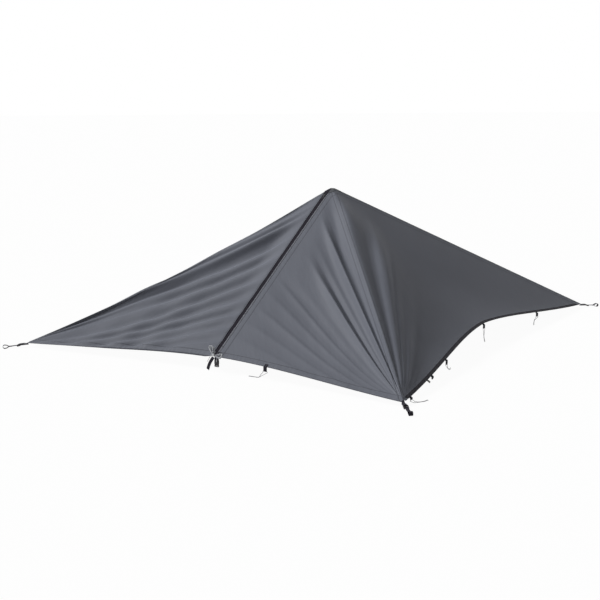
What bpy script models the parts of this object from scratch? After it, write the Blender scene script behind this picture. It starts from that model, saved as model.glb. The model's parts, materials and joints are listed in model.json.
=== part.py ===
"""A four-sided camping tarp, pitched low over one telescopic pole.

The long ridge runs along X, the front corner points to -Y and the pole
stands on the origin. Lengths are in metres, angles in degrees, +Z is up.
"""

import math
from bisect import bisect_right

import bmesh
import bpy
from mathutils import Matrix, Vector

OBJECT_NAME = "camping_tarp"

# Pitch: where the four corners and the peak stand
LEFT_REACH = 2.05
RIGHT_REACH = 1.978
SIDE_REACH = 1.853
SIDE_SHIFT = 0.24
PEAK_HEIGHT = 0.955
LEFT_RIDGE_SAG = 0.050
SAG_RELEASE = 12

# Cloth
CLOTH_THICKNESS = 0.0012
CLOTH_SAG = 0.022
PLAIN_EDGE_DEPTH = 0.117
BOUND_EDGE_DEPTH = 0.203
EDGE_CURVE_POWER = 1.13
BOUND_EDGE_PEAK = 0.2
CORNER_TRIM = 0.020
PEAK_TRIM = 0.030
LEFT_PEAK_LAP = 0.003
LEFT_PEAK_RUN = 0.030
SEAM_INSET = 0.0004

# Gaps between pieces that touch, and between pieces that slide
TOUCH_GAP = 0.0003
CLOTH_GAP = 0.0005
RUNNING_GAP = 0.0004

# Webbing, cord and edge tape
WEBBING_WIDTH = 0.020
WEBBING_THICKNESS = 0.0014
BINDING_WIDTH = 0.026
BINDING_THICKNESS = 0.0008
BINDING_TAPER = 0.12
BINDING_GAP = 0.0008
CORD_DIAMETER = 0.0022
STRAND_SPREAD = 0.0010
GUY_LINE_DIAMETER = 0.003

# Corner hardware
BAR_RADIUS = 0.0018
FIXED_BAR_REACH = 0.030
MIDDLE_BAR_REACH = 0.044
FRONT_BAR_REACH = 0.057
RAIL_THICKNESS = 0.003
STRAP_SLOPE = 2.5
STRAP_TAIL = 0.012
PEG_EYE_REACH = 0.135
PEG_EYE_RADIUS = 0.011
PEG_EYE_NECK = 0.028
PEG_EYE_SEWN = 0.018
PEG_STRAP_FLAT = 0.070
PEG_STRAP_DIP = 0.0004
CORNER_SEWN = 0.060
CORNER_FLAT = 0.012
RAIL_WALL = 0.0014

# Zip
ZIP_FROM_LEFT = 1.349
ZIP_BESIDE_PEAK = 0.021
ZIP_STRIPE = 0.024
ZIP_TAPE_LAP = 0.003
ZIP_TAPE_THICKNESS = 0.0009
COIL_GAP = 0.0012
COIL_WIDTH = 0.0022
COIL_HEIGHT = 0.0032
SLIDER_LENGTH = 0.028
SLIDER_WIDTH = 0.013
SLIDER_WALL = 0.0014
PULL_LENGTH = 0.042
PULL_RING_RADIUS = 0.0075
PULL_THICKNESS = 0.0018
PULL_REST_TILT = 4.0
LUG_REACH = 0.0022
LUG_CORNER = 0.0015

# Peak
CAP_FRONT_RIM = 0.052
CAP_RIM = 0.066
CAP_THICKNESS = 0.0012
CAP_CROWN = 0.010
PATCH_RIM = 0.048
PATCH_CROWN = 0.024
EYELET_RADIUS = 0.011
EYELET_HOLE = 0.0045
EYELET_WALL = 0.0007

# Pole
LOWER_TUBE_RADIUS = 0.0095
LOWER_TUBE_TOP = 0.520
UPPER_TUBE_RADIUS = 0.0080
UPPER_TUBE_FOOT = 0.260
TUBE_WALL = 0.0010
SPIGOT_RADIUS = 0.0038
SPIGOT_RISE = 0.011
FOOT_RADIUS = 0.013
FOOT_HEIGHT = 0.024
FOOT_SOLE = 0.006
COLLAR_HEIGHT = 0.040
COLLAR_WALL = 0.0035
EAR_MARGIN = 0.0042
EAR_THICKNESS = 0.003
CLAMP_PIN_RADIUS = 0.0015
LEVER_THICKNESS = 0.008
LEVER_CAM_RADIUS = 0.0045
LEVER_LENGTH = 0.034

# Release buckle, strap tail and guy line at the foot of the zip
BUCKLE_WIDTH = 0.028
BUCKLE_THICKNESS = 0.009
BUCKLE_WALL = 0.0018
SOCKET_LENGTH = 0.026
PRONG_WIDTH = 0.0042
PRONG_LENGTH = 0.018
PLUG_BASE_LENGTH = 0.015
FOOT_WEBBING_SHIFT = 0.028
FOOT_WEBBING_WIDTH = 0.025
FOOT_WEBBING_SEWN = 0.036
FOOT_DROP = 0.012
STRAP_TAIL_LENGTH = 0.088
STRAP_TAIL_LEAN = 27
STRAP_TAIL_BOW = 0.011
HANK_LOOPS = 5
HANK_LONG_LOBE = 0.056
HANK_SHORT_LOBE = 0.044
HANK_LOBE_WIDTH = 0.0085
HANK_WAIST = 0.016
HANK_FAN = 3.0
HANK_SPREAD = 0.06
LOBE_STEPS = 12
HANK_TAIL = ((-0.002, -0.007), (0.004, -0.012), (0.014, -0.014), (0.028, -0.017), (0.044, -0.022))
HANK_LEAD = ((0.021, 0.0060, 0.0125), (0.013, 0.0100, 0.0145), (0.004, 0.0115, 0.0145))
WRAP_WALL = 0.0016
WRAP_CORNER = 0.002

# Tabs along the edges
TAB_SEWN = 0.020
TAB_REACH = 0.008
TAB_LIP = 0.0045
TAB_DROP = 0.018
FRONT_TAB_DROP = 0.004
TIE_TAB_DROP = 0.008
TAB_EYE_RADIUS = 0.0019
LABEL_WIDTH = 0.016
LABEL_DROP = 0.022
LABEL_SEWN = 0.012

# Where tabs and the label sit on their edge, from 0 at the face's tip to 1
HEM_TAB_RISE = 0.700
BACK_HEM_TAB_RISE = 0.665
FRONT_TAB_RISE = 0.030
TIE_TAB_RISE = 0.135
LABEL_RISE = 0.112
EDGE_TAB_RISES = (0.22, 0.49, 0.77)

# Tie cords: their knot, bend and end, as along, out and down from the eye
HEM_CORD_ROUTE = ((0.034, 0.012, 0.040), (0.060, 0.022, 0.040), (0.090, 0.030, 0.040))
FRONT_CORD_ROUTE = ((0.018, 0.034, 0.030), (0.038, 0.056, 0.030), (0.064, 0.068, 0.030))
EDGE_CORD_ROUTES = (
    ((0.006, 0.004, 0.026), (0.022, 0.008, 0.040), (0.048, 0.010, 0.043)),
    ((0.000, 0.001, 0.050), (0.001, 0.003, 0.070), (0.005, 0.007, 0.092)),
    ((-0.030, 0.000, 0.026), (-0.036, 0.000, 0.046), (-0.035, 0.002, 0.070)),
)

# Folds: place along the far seam from 0 to 1, half width on that scale, depth
LEFT_FOLDS = (
    (0.105, 0.045, 0.010),
    (0.250, 0.070, 0.016),
    (0.420, 0.065, 0.012),
    (0.570, 0.060, 0.012),
    (0.705, 0.050, 0.010),
    (0.805, 0.040, 0.009),
    (0.885, 0.035, 0.007),
)
DOOR_FOLDS = (
    (0.105, 0.035, 0.014),
    (0.300, 0.045, 0.011),
    (0.440, 0.050, 0.004),
    (0.600, 0.055, 0.006),
    (0.730, 0.050, 0.004),
)
RIGHT_FOLDS = (
    (0.105, 0.050, 0.008),
    (0.225, 0.050, 0.007),
    (0.335, 0.045, 0.004),
)
FOLD_ROWS = (0.0, 0.035, 0.09, 0.18, 0.30, 0.42, 0.54, 0.66, 0.77, 0.86, 0.93, 0.975, 1.0)
FOLD_START = 0.035
EDGE_PROBE = 0.004
HEM_SHARE = 0.945

COLOURS = {
    "cloth_grey": ((0.135, 0.140, 0.155), 0.62, 0.0),
    "cloth_dark": ((0.075, 0.080, 0.088), 0.62, 0.0),
    "webbing_black": ((0.020, 0.019, 0.024), 0.80, 0.0),
    "zip_black": ((0.018, 0.016, 0.022), 0.60, 0.0),
    "plastic_black": ((0.016, 0.016, 0.018), 0.38, 0.0),
    "slider_metal": ((0.060, 0.060, 0.065), 0.35, 1.0),
    "tube_aluminium": ((0.620, 0.630, 0.640), 0.32, 1.0),
    "eyelet_metal": ((0.560, 0.560, 0.570), 0.30, 1.0),
    "rubber_black": ((0.020, 0.020, 0.020), 0.85, 0.0),
    "cord_grey": ((0.360, 0.360, 0.380), 0.70, 0.0),
    "wrap_silver": ((0.600, 0.620, 0.640), 0.45, 0.0),
    "label_blank": ((0.550, 0.550, 0.540), 0.75, 0.0),
}

SIDES = 12
SMOOTH_ANGLE = math.radians(40)
DOWN = Vector((0.0, 0.0, -1.0))
UP = Vector((0.0, 0.0, 1.0))


def cos_deg(angle):
    return math.cos(math.radians(angle))


def sin_deg(angle):
    return math.sin(math.radians(angle))


# The fixed bar sits above the strap, with one turn of webbing between them
FIXED_BAR_HEIGHT = WEBBING_THICKNESS * 1.5 + TOUCH_GAP + 2 * RUNNING_GAP + BAR_RADIUS
UPPER_RUN_HEIGHT = FIXED_BAR_HEIGHT + BAR_RADIUS + TOUCH_GAP + WEBBING_THICKNESS / 2
TIP_HEIGHT = UPPER_RUN_HEIGHT + WEBBING_THICKNESS / 2 + CLOTH_GAP
# The cloth corners stand at the height that lays the peg eyes on the ground
PEG_EYE_OUTER = PEG_EYE_RADIUS + WEBBING_THICKNESS / 2
CORNER_LIFT = (TIP_HEIGHT + PEG_EYE_OUTER) * cos_deg(STRAP_SLOPE) + PEG_EYE_REACH * sin_deg(STRAP_SLOPE)

PEAK = Vector((0.0, 0.0, PEAK_HEIGHT))
CORNERS = {
    "left": Vector((-LEFT_REACH, 0.0, CORNER_LIFT)),
    "right": Vector((RIGHT_REACH, 0.0, CORNER_LIFT)),
    "front": Vector((-SIDE_SHIFT, -SIDE_REACH, CORNER_LIFT)),
    "back": Vector((-SIDE_SHIFT, SIDE_REACH, CORNER_LIFT)),
}
RIDGE_SAG = {"left": LEFT_RIDGE_SAG, "right": 0.0, "front": 0.0, "back": 0.0}


# Scene and materials

def clear_scene():
    """Remove every object, so that the file holds the tarp alone."""
    for item in list(bpy.data.objects):
        bpy.data.objects.remove(item, do_unlink=True)


def new_collection(name, hidden=False):
    collection = bpy.data.collections.new(name)
    bpy.context.scene.collection.children.link(collection)
    collection.hide_render = hidden
    return collection


def make_material(name):
    """One Principled material with its colour, roughness and metallic value."""
    colour, roughness, metallic = COLOURS[name]
    material = bpy.data.materials.new(name)
    material.use_nodes = True
    shader = material.node_tree.nodes["Principled BSDF"]
    shader.inputs["Base Color"].default_value = (*colour, 1.0)
    shader.inputs["Roughness"].default_value = roughness
    shader.inputs["Metallic"].default_value = metallic
    material.diffuse_color = (*colour, 1.0)
    return material


def add_part(name, mesh, material, frame=None, smooth=False):
    """Place a mesh as one named piece of the tarp."""
    piece = bpy.data.objects.new(name, mesh)
    PARTS.objects.link(piece)
    mesh.materials.clear()
    mesh.materials.append(MATERIALS[material])
    if frame is not None:
        piece.matrix_world = frame
    if smooth:
        mesh.shade_smooth()
        mesh.set_sharp_from_angle(angle=SMOOTH_ANGLE)
    return piece


def axis_empty(name, origin, x_axis, z_axis):
    """An empty on a joint's axis, for the pieces that move on it."""
    empty = bpy.data.objects.new(name, None)
    PARTS.objects.link(empty)
    empty.empty_display_size = 0.03
    empty.matrix_world = frame_at(origin, x_axis, z_axis)
    return empty


def carry(empty, pieces):
    """Parent pieces to an empty and keep them where they are."""
    bpy.context.view_layer.update()
    for piece in pieces:
        world = piece.matrix_world.copy()
        piece.parent = empty
        piece.matrix_parent_inverse = empty.matrix_world.inverted()
        piece.matrix_world = world


def frame_at(origin, x_axis, z_axis):
    """A right-handed frame from its X axis and a rough Z axis."""
    x = x_axis.normalized()
    y = z_axis.cross(x).normalized()
    z = x.cross(y)
    frame = Matrix((x, y, z)).transposed().to_4x4()
    frame.translation = origin
    return frame


# Shapes

def mesh_from(work, name):
    mesh = bpy.data.meshes.new(name)
    work.to_mesh(mesh)
    work.free()
    return mesh


def box_mesh(low, high):
    """A box between two corners."""
    low = Vector(low)
    high = Vector(high)
    work = bmesh.new()
    size = Matrix.Diagonal((*(high - low), 1.0))
    bmesh.ops.create_cube(work, size=1.0, matrix=Matrix.Translation((low + high) / 2) @ size)
    return mesh_from(work, "box")


def rod_mesh(start, end, radius, sides=SIDES):
    """A cylinder between two points."""
    start = Vector(start)
    end = Vector(end)
    span = end - start
    turn = span.to_track_quat("Z", "Y").to_matrix().to_4x4()
    work = bmesh.new()
    bmesh.ops.create_cone(
        work, cap_ends=True, segments=sides, radius1=radius, radius2=radius,
        depth=span.length, matrix=Matrix.Translation((start + end) / 2) @ turn)
    return mesh_from(work, "rod")


def curve_to_mesh(curve_data):
    """The closed mesh of a curve, with its caps welded on."""
    holder = bpy.data.objects.new("outline", curve_data)
    bpy.context.scene.collection.objects.link(holder)
    depsgraph = bpy.context.evaluated_depsgraph_get()
    mesh = bpy.data.meshes.new_from_object(holder.evaluated_get(depsgraph))
    bpy.data.objects.remove(holder, do_unlink=True)
    work = bmesh.new()
    work.from_mesh(mesh)
    bmesh.ops.remove_doubles(work, verts=work.verts, dist=0.00001)
    bmesh.ops.recalc_face_normals(work, faces=work.faces)
    work.to_mesh(mesh)
    work.free()
    return mesh


def plate_mesh(outlines, thickness, frame):
    """A flat plate from one outline and its holes, placed by a frame."""
    data = bpy.data.curves.new("plate", "CURVE")
    data.dimensions = "2D"
    data.fill_mode = "BOTH"
    data.extrude = thickness / 2
    for outline in outlines:
        spline = data.splines.new("POLY")
        spline.points.add(len(outline) - 1)
        for point, (x, y) in zip(spline.points, outline):
            point.co = (x, y, 0.0, 1.0)
        spline.use_cyclic_u = True
    mesh = curve_to_mesh(data)
    mesh.transform(frame)
    return mesh


def circle_points(centre, radius, sides=SIDES):
    points = []
    for step in range(sides):
        angle = 2 * math.pi * step / sides
        points.append((centre[0] + radius * math.cos(angle), centre[1] + radius * math.sin(angle)))
    return points


def rounded_box(low, high, radius, steps=3):
    """A flat outline with round corners, between two corner points."""
    centres = (
        (high[0] - radius, high[1] - radius, 0),
        (low[0] + radius, high[1] - radius, 90),
        (low[0] + radius, low[1] + radius, 180),
        (high[0] - radius, low[1] + radius, 270),
    )
    points = []
    for x, y, start in centres:
        for step in range(steps + 1):
            angle = start + 90 * step / steps
            points.append((x + radius * cos_deg(angle), y + radius * sin_deg(angle)))
    return points


def turned(name, profile, material, frame=None, steps=24, closed=True):
    """A turned piece: a profile of (radius, height) swept about Z."""
    mesh = bpy.data.meshes.new(name)
    points = [(radius, 0.0, height) for radius, height in profile]
    edges = [(i, i + 1) for i in range(len(points) - 1)]
    if closed:
        edges.append((len(points) - 1, 0))
    mesh.from_pydata(points, edges, [])
    piece = add_part(name, mesh, material, frame)
    screw = piece.modifiers.new("turn", "SCREW")
    screw.steps = steps
    screw.render_steps = steps
    screw.use_merge_vertices = True
    screw.merge_threshold = 0.00001
    screw.use_smooth_shade = True
    return piece


def combine(piece, meshes, operation):
    """Join or cut a piece with meshes given in the piece's own frame."""
    for number, mesh in enumerate(meshes):
        tool = bpy.data.objects.new(f"{piece.name}_{operation.lower()}_{number}", mesh)
        TOOLS.objects.link(tool)
        tool.matrix_world = piece.matrix_world
        tool.hide_render = True
        tool.display_type = "WIRE"
        modifier = piece.modifiers.new(f"{operation.lower()}_{number}", "BOOLEAN")
        modifier.operation = operation
        modifier.object = tool
        modifier.solver = "EXACT"
    return piece


def sheet(name, columns, rows, place, outward, thickness, material, offset=1.0):
    """A shell over a grid of stations; place(column, row) gives each point.

    Each cell is two triangles that share the diagonal from its lower left
    station to its upper right one.
    """
    work = bmesh.new()
    grid = [[work.verts.new(place(column, row)) for column in range(columns)] for row in range(rows)]
    for row in range(rows - 1):
        for column in range(columns - 1):
            start = grid[row][column]
            end = grid[row + 1][column + 1]
            work.faces.new((start, grid[row][column + 1], end))
            work.faces.new((start, end, grid[row + 1][column]))
    work.normal_update()
    work.faces.ensure_lookup_table()
    first = work.faces[(rows // 2) * (columns - 1) * 2]
    if first.normal.dot(outward) < 0:
        bmesh.ops.reverse_faces(work, faces=work.faces)
    piece = add_part(name, mesh_from(work, name), material)
    shell = piece.modifiers.new("thickness", "SOLIDIFY")
    shell.thickness = thickness
    shell.offset = offset
    shell.use_even_offset = True
    return piece


def ribbon(name, stations, thickness, material, outward=UP, frame=None):
    """A flat strap through stations, each a row of points across its width."""
    piece = sheet(
        name, len(stations[0]), len(stations), lambda column, row: stations[row][column],
        outward, thickness, material, offset=0.0)
    if frame is not None:
        piece.matrix_world = frame
    return piece


def flat_stations(route, across, width):
    """Stations of a strap whose width lies along one direction."""
    side = across.normalized() * (width / 2)
    return [(Vector(point) - side, Vector(point) + side) for point in route]


def smooth_route(route, steps):
    """Points on a smooth curve through a route's own points."""
    points = [Vector(point) for point in route]
    ends = [2 * points[0] - points[1]] + points + [2 * points[-1] - points[-2]]
    smooth = []
    for i in range(1, len(ends) - 2):
        before, start, end, after = ends[i - 1:i + 3]
        for step in range(steps):
            t = step / steps
            smooth.append(0.5 * (
                2 * start + (end - before) * t
                + (2 * before - 5 * start + 4 * end - after) * t ** 2
                + (3 * start - before - 3 * end + after) * t ** 3))
    smooth.append(points[-1])
    return smooth


def cord(name, points, diameter, material, resolution=2):
    """A round cord along points, with closed ends."""
    data = bpy.data.curves.new(name, "CURVE")
    data.dimensions = "3D"
    data.bevel_depth = diameter / 2
    data.bevel_resolution = resolution
    data.use_fill_caps = True
    spline = data.splines.new("POLY")
    spline.points.add(len(points) - 1)
    for point, place in zip(spline.points, points):
        point.co = (*place, 1.0)
    piece = bpy.data.objects.new(name, data)
    PARTS.objects.link(piece)
    data.materials.append(MATERIALS[material])
    return piece


def least_gap(points, diameter):
    """The least clear distance between two far stretches of one cord."""
    reach = 4 * diameter
    travelled = [0.0]
    for before, after in zip(points, points[1:]):
        travelled.append(travelled[-1] + (after - before).length)
    least = math.inf
    for i, first in enumerate(points):
        for j in range(i + 1, len(points)):
            if travelled[j] - travelled[i] > reach:
                least = min(least, (points[j] - first).length)
    return least - diameter


# The pitched surface

def ridge_length(corner):
    return (CORNERS[corner] - PEAK).length


def ridge_point(corner, rise):
    """A point on a ridge, from 0 at the corner to 1 at the peak."""
    point = CORNERS[corner].lerp(PEAK, rise)
    point.z -= 4 * RIDGE_SAG[corner] * rise * (1 - rise) * (1 - rise ** SAG_RELEASE)
    return point


def ridge_at(corner, distance):
    """A point on a ridge at a distance from the peak."""
    return ridge_point(corner, 1 - distance / ridge_length(corner))


def edge_point(start, end, share, depth, peaked):
    """A point on a curved lower edge between two corners."""
    base = CORNERS[start].lerp(CORNERS[end], share)
    bow = (1 - peaked) * math.sin(math.pi * share) ** EDGE_CURVE_POWER if 0 < share < 1 else 0.0
    bow += peaked * (1 - abs(2 * share - 1))
    return base + (PEAK - base).normalized() * depth * bow


def face_normal(start, end):
    """The outward normal of the flat face between two corners and the peak."""
    normal = (CORNERS[end] - CORNERS[start]).cross(PEAK - CORNERS[start]).normalized()
    return normal if normal.z > 0 else -normal


ZIP_SHARE = ZIP_FROM_LEFT / (CORNERS["front"] - CORNERS["left"]).length
ZIP_FOOT = edge_point("left", "front", ZIP_SHARE, PLAIN_EDGE_DEPTH, 0.0)
FRONT_LEFT_NORMAL = face_normal("left", "front")


def square_to(line):
    """In the zip's face, square to a line and towards the front corner."""
    across = FRONT_LEFT_NORMAL.cross(line).normalized()
    return across if across.dot(CORNERS["front"] - CORNERS["left"]) > 0 else -across


# The zip's line passes beside the peak, so its top is a point in the air above the left ridge
ZIP_TOP = PEAK - square_to(ZIP_FOOT - PEAK) * ZIP_BESIDE_PEAK
ZIP_LENGTH = (ZIP_FOOT - ZIP_TOP).length
ZIP_DOWN = (ZIP_FOOT - ZIP_TOP).normalized()
ZIP_ACROSS = square_to(ZIP_DOWN)
FRONT_RIDGE_DOWN = (CORNERS["front"] - PEAK).normalized()


def zip_point(distance, across=0.0, lift=0.0):
    """A point by the zip: distance from its top, sideways, and outwards."""
    return ZIP_TOP + ZIP_DOWN * distance + ZIP_ACROSS * across + FRONT_LEFT_NORMAL * lift


def zip_trim(front_trim):
    """Where a line square to the front ridge meets the door's side of the zip."""
    beside = (zip_point(0.0, ZIP_STRIPE / 2) - PEAK).dot(FRONT_RIDGE_DOWN)
    return (front_trim - beside) / ZIP_DOWN.dot(FRONT_RIDGE_DOWN)


CAP_ZIP_RIM = zip_trim(CAP_FRONT_RIM)
SLIDER_FROM_TOP = CAP_ZIP_RIM + SLIDER_LENGTH / 2 + 2 * RUNNING_GAP
DOOR_TRIM = CAP_FRONT_RIM + 2 * RUNNING_GAP
DOOR_ZIP_TRIM = zip_trim(DOOR_TRIM)


def zip_edge_share(side):
    """Where the edge of the zip's slot meets the hem."""
    probe = 0.001
    step = edge_point("left", "front", ZIP_SHARE + probe, PLAIN_EDGE_DEPTH, 0.0) - ZIP_FOOT
    return ZIP_SHARE + side * ZIP_STRIPE / 2 * probe / step.dot(ZIP_ACROSS)


def inward_of(corner, inside_point):
    """In-plane direction from a ridge towards a face's inside."""
    along = (PEAK - CORNERS[corner]).normalized()
    toward = Vector(inside_point) - CORNERS[corner]
    return (toward - along * toward.dot(along)).normalized()


class Panel:
    """One cloth face, as a fan of stations from its lower tip.

    Column 0 follows a ridge, the last column follows the lower edge, and
    the far side follows the seam or the zip across from the tip.
    """

    def __init__(self, name, tip, normal, ridge_trim, far_ridge, far_points, edge, folds):
        self.name = name
        self.tip = tip
        self.normal = normal
        self.ridge_trim = ridge_trim
        self.far_points = far_points
        self.edge = edge
        self.folds = folds
        self.inset = inward_of(tip, far_points[-1]) * SEAM_INSET
        self.far_inset = Vector()
        if far_ridge:
            self.far_inset = inward_of(far_ridge, CORNERS[tip]) * SEAM_INSET

    def columns(self):
        """Stations across the fan: each fold has its shoulders and its bottom."""
        places = {0.0, 1.0, HEM_SHARE, 0.5 * (1 + self.folds[-1][0])}
        for place, half_width, _ in self.folds:
            places.update((place - half_width, place, place + half_width))
        merged = []
        for place in sorted(places):
            if not merged or place - merged[-1] > 0.012:
                merged.append(place)
        return merged

    def ridge(self, rise):
        top = 1 - self.ridge_trim / ridge_length(self.tip)
        return ridge_point(self.tip, rise * top)

    def far(self, share):
        """The far side: along the short top edge first, then down the seam."""
        first, start, end = self.far_points
        top_share = self.columns()[1] * 0.5
        if share <= top_share:
            return (first + self.inset).lerp(start + self.far_inset, share / top_share)
        return start.lerp(end, (share - top_share) / (1 - top_share)) + self.far_inset

    def strength(self, rise):
        """How much of a fold shows: none at the tip and at the far seam."""
        if rise <= FOLD_START:
            return 0.0
        return math.sin(math.pi * ((rise - FOLD_START) / (1 - FOLD_START)) ** 0.7) ** 2

    def depth(self, share, rise):
        """How far the cloth hangs inside its flat face."""
        depth = CLOTH_SAG * math.sin(math.pi * share)
        for place, half_width, fold_depth in self.folds:
            depth += fold_depth * max(0.0, 1 - abs(share - place) / half_width)
        return depth * self.strength(rise)

    def point(self, share, rise):
        ridge = self.ridge(rise) + self.inset
        edge = self.edge(rise)
        far = self.far(share)
        ends = self.far(0).lerp(self.edge(1.0), share)
        point = ridge.lerp(edge, share) + (far - ends) * rise
        return point - self.normal * self.depth(share, rise)

    def grid(self):
        """The stations across the fan and along it."""
        columns = self.columns()
        columns.insert(1, columns[1] * 0.5)
        trim = CORNER_TRIM / ridge_length(self.tip)
        return columns, [max(row, trim) for row in FOLD_ROWS]

    def surface(self, share, rise):
        """A point on the flat facets that the stations make."""
        columns, rows = self.grid()
        column = min(bisect_right(columns, share), len(columns) - 1)
        row = min(max(bisect_right(rows, rise), 1), len(rows) - 1)
        across = (share - columns[column - 1]) / (columns[column] - columns[column - 1])
        up = (rise - rows[row - 1]) / (rows[row] - rows[row - 1])
        start = self.point(columns[column - 1], rows[row - 1])
        end = self.point(columns[column], rows[row])
        if across > up:
            corner = self.point(columns[column], rows[row - 1])
            return start + (corner - start) * across + (end - corner) * up
        corner = self.point(columns[column - 1], rows[row])
        return start + (corner - start) * up + (end - corner) * across

    def edge_frame(self, rise):
        """Origin on the lower edge, and directions along, into and out of the cloth."""
        origin = self.surface(1.0, rise)
        ahead = self.surface(1.0, rise + EDGE_PROBE)
        along = (ahead - self.surface(1.0, rise - EDGE_PROBE)).normalized()
        into = self.surface(1.0 - EDGE_PROBE, rise) - origin
        into = (into - along * into.dot(along)).normalized()
        normal = into.cross(along)
        if normal.dot(self.normal) < 0:
            normal = -normal
        return origin, along, into, normal

    def build(self, material):
        columns, rows = self.grid()

        def place(column, row):
            return self.point(columns[column], rows[row])

        return sheet(
            self.name, len(columns), len(rows), place, self.normal, CLOTH_THICKNESS, material)


def plain_edge(start, end, from_share, to_share):
    """Edge function of a plain hem, between two shares of its length."""
    def edge(rise):
        share = from_share + (to_share - from_share) * rise
        return edge_point(start, end, share, PLAIN_EDGE_DEPTH, 0.0)
    return edge


def bound_edge(start, end):
    """Edge function of a taped edge."""
    def edge(rise):
        return edge_point(start, end, rise, BOUND_EDGE_DEPTH, BOUND_EDGE_PEAK)
    return edge


def make_panels():
    """The five cloth faces: the front left face is split by the zip."""
    left_share = zip_edge_share(-1)
    door_share = zip_edge_share(1)
    half = ZIP_STRIPE / 2
    left_edge = plain_edge("left", "front", 0.0, left_share)
    door_edge = plain_edge("left", "front", 1.0, door_share)
    back_left_edge = plain_edge("left", "back", 0.0, 1.0)
    right_edge = bound_edge("front", "right")
    back_right_edge = bound_edge("back", "right")
    back_left_normal = face_normal("back", "left")
    right_normal = face_normal("front", "right")
    back_right_normal = face_normal("right", "back")
    right_top = ridge_at("right", PEAK_TRIM)
    # The faces by the left ridge start where the zip's left side crosses that ridge
    left_ridge_down = (CORNERS["left"] - PEAK).normalized()
    zip_angle = left_ridge_down.angle(ZIP_DOWN)
    left_trim = (ZIP_BESIDE_PEAK + half) / math.sin(zip_angle) + LEFT_PEAK_LAP
    left_zip_trim = (ZIP_BESIDE_PEAK + half) / math.tan(zip_angle) + LEFT_PEAK_RUN
    panels = {
        "left": Panel(
            "left_panel", "left", FRONT_LEFT_NORMAL, left_trim, None,
            (ridge_at("left", left_trim), zip_point(left_zip_trim, -half), left_edge(1.0)),
            left_edge, LEFT_FOLDS),
        "door": Panel(
            "door_panel", "front", FRONT_LEFT_NORMAL, DOOR_TRIM, None,
            (ridge_at("front", DOOR_TRIM), zip_point(DOOR_ZIP_TRIM, half), door_edge(1.0)),
            door_edge, DOOR_FOLDS),
        "right": Panel(
            "right_panel", "front", right_normal, PEAK_TRIM, "right",
            (ridge_at("front", PEAK_TRIM), right_top, CORNERS["right"]), right_edge, RIGHT_FOLDS),
        "back_right": Panel(
            "back_right_panel", "back", back_right_normal, PEAK_TRIM, "right",
            (ridge_at("back", PEAK_TRIM), right_top, CORNERS["right"]),
            back_right_edge, RIGHT_FOLDS),
        "back_left": Panel(
            "back_left_panel", "left", back_left_normal, left_trim, "back",
            (ridge_at("left", left_trim), ridge_at("back", PEAK_TRIM), CORNERS["back"]),
            back_left_edge, LEFT_FOLDS),
    }
    for panel in panels.values():
        panel.build("cloth_grey")
    return panels


def make_binding(name, panel):
    """Edge tape folded over a curved edge, narrowing towards both corners."""
    length = (panel.edge(1.0) - panel.edge(0.0)).length
    trim = 2 * CORNER_TRIM / length
    rows = [min(max(row, trim), 1 - trim) for row in FOLD_ROWS]
    outer = CLOTH_THICKNESS + BINDING_GAP
    inner = -BINDING_GAP

    def place(column, row):
        edge, _, into, normal = panel.edge_frame(rows[row])
        to_end = min((edge - panel.edge(0.0)).length, (edge - panel.edge(1.0)).length)
        leg = BINDING_WIDTH * min(1.0, to_end / BINDING_TAPER)
        lift = outer if column < 2 else inner
        reach = leg if column in (0, 3) else -CLOTH_GAP
        row_line = panel.surface(1.0 - EDGE_PROBE, rows[row]) - edge
        return edge + row_line * (reach / row_line.dot(into)) + normal * lift

    return sheet(name, 4, len(rows), place, panel.normal, BINDING_THICKNESS, "webbing_black")


# Zip: two tapes, each with half of the coil, and the slider with its pull

TAPE_LIFT = -2 * TOUCH_GAP - ZIP_TAPE_THICKNESS / 2
COIL_INNER = COIL_GAP / 2
COIL_OUTER = COIL_INNER + COIL_WIDTH
COIL_START = SLIDER_FROM_TOP - SLIDER_LENGTH / 2 - RUNNING_GAP
PLATE_REACH = COIL_HEIGHT / 2 + RUNNING_GAP
SLIDER_HEIGHT = PLATE_REACH + SLIDER_WALL
PULL_AXIS_LIFT = SLIDER_HEIGHT + 0.0030
PULL_HEAD_RADIUS = 0.0024
PULL_BAR_RADIUS = 0.0009
LUG_HALF_GAP = 0.0021
LUG_THICKNESS = 0.0010
PULL_AXIS_SHIFT = -0.006


def make_zip_tape(name, side, start, end):
    """One tape, lying under the cloth edge, with its half of the coil."""
    half = ZIP_TAPE_THICKNESS / 2
    reach = ZIP_STRIPE / 2 + ZIP_TAPE_LAP
    profile = (
        (COIL_INNER, -COIL_HEIGHT / 2 + 0.0005),
        (COIL_INNER + 0.0005, -COIL_HEIGHT / 2),
        (COIL_OUTER - 0.0005, -COIL_HEIGHT / 2),
        (COIL_OUTER, -half),
        (reach, -half),
        (reach, half),
        (COIL_OUTER, half),
        (COIL_OUTER - 0.0005, COIL_HEIGHT / 2),
        (COIL_INNER + 0.0005, COIL_HEIGHT / 2),
        (COIL_INNER, COIL_HEIGHT / 2 - 0.0005),
    )
    frame = frame_at(zip_point((start + end) / 2, 0.0, TAPE_LIFT), ZIP_ACROSS * side, FRONT_LEFT_NORMAL)
    upright = frame @ Matrix.Rotation(math.radians(90), 4, "X")
    return add_part(name, plate_mesh([profile], end - start, upright), "zip_black")


def slider_frame():
    """X runs down the zip, Z points outwards, origin in the slider's middle."""
    return frame_at(zip_point(SLIDER_FROM_TOP, 0.0, TAPE_LIFT), ZIP_DOWN, FRONT_LEFT_NORMAL)


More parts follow.
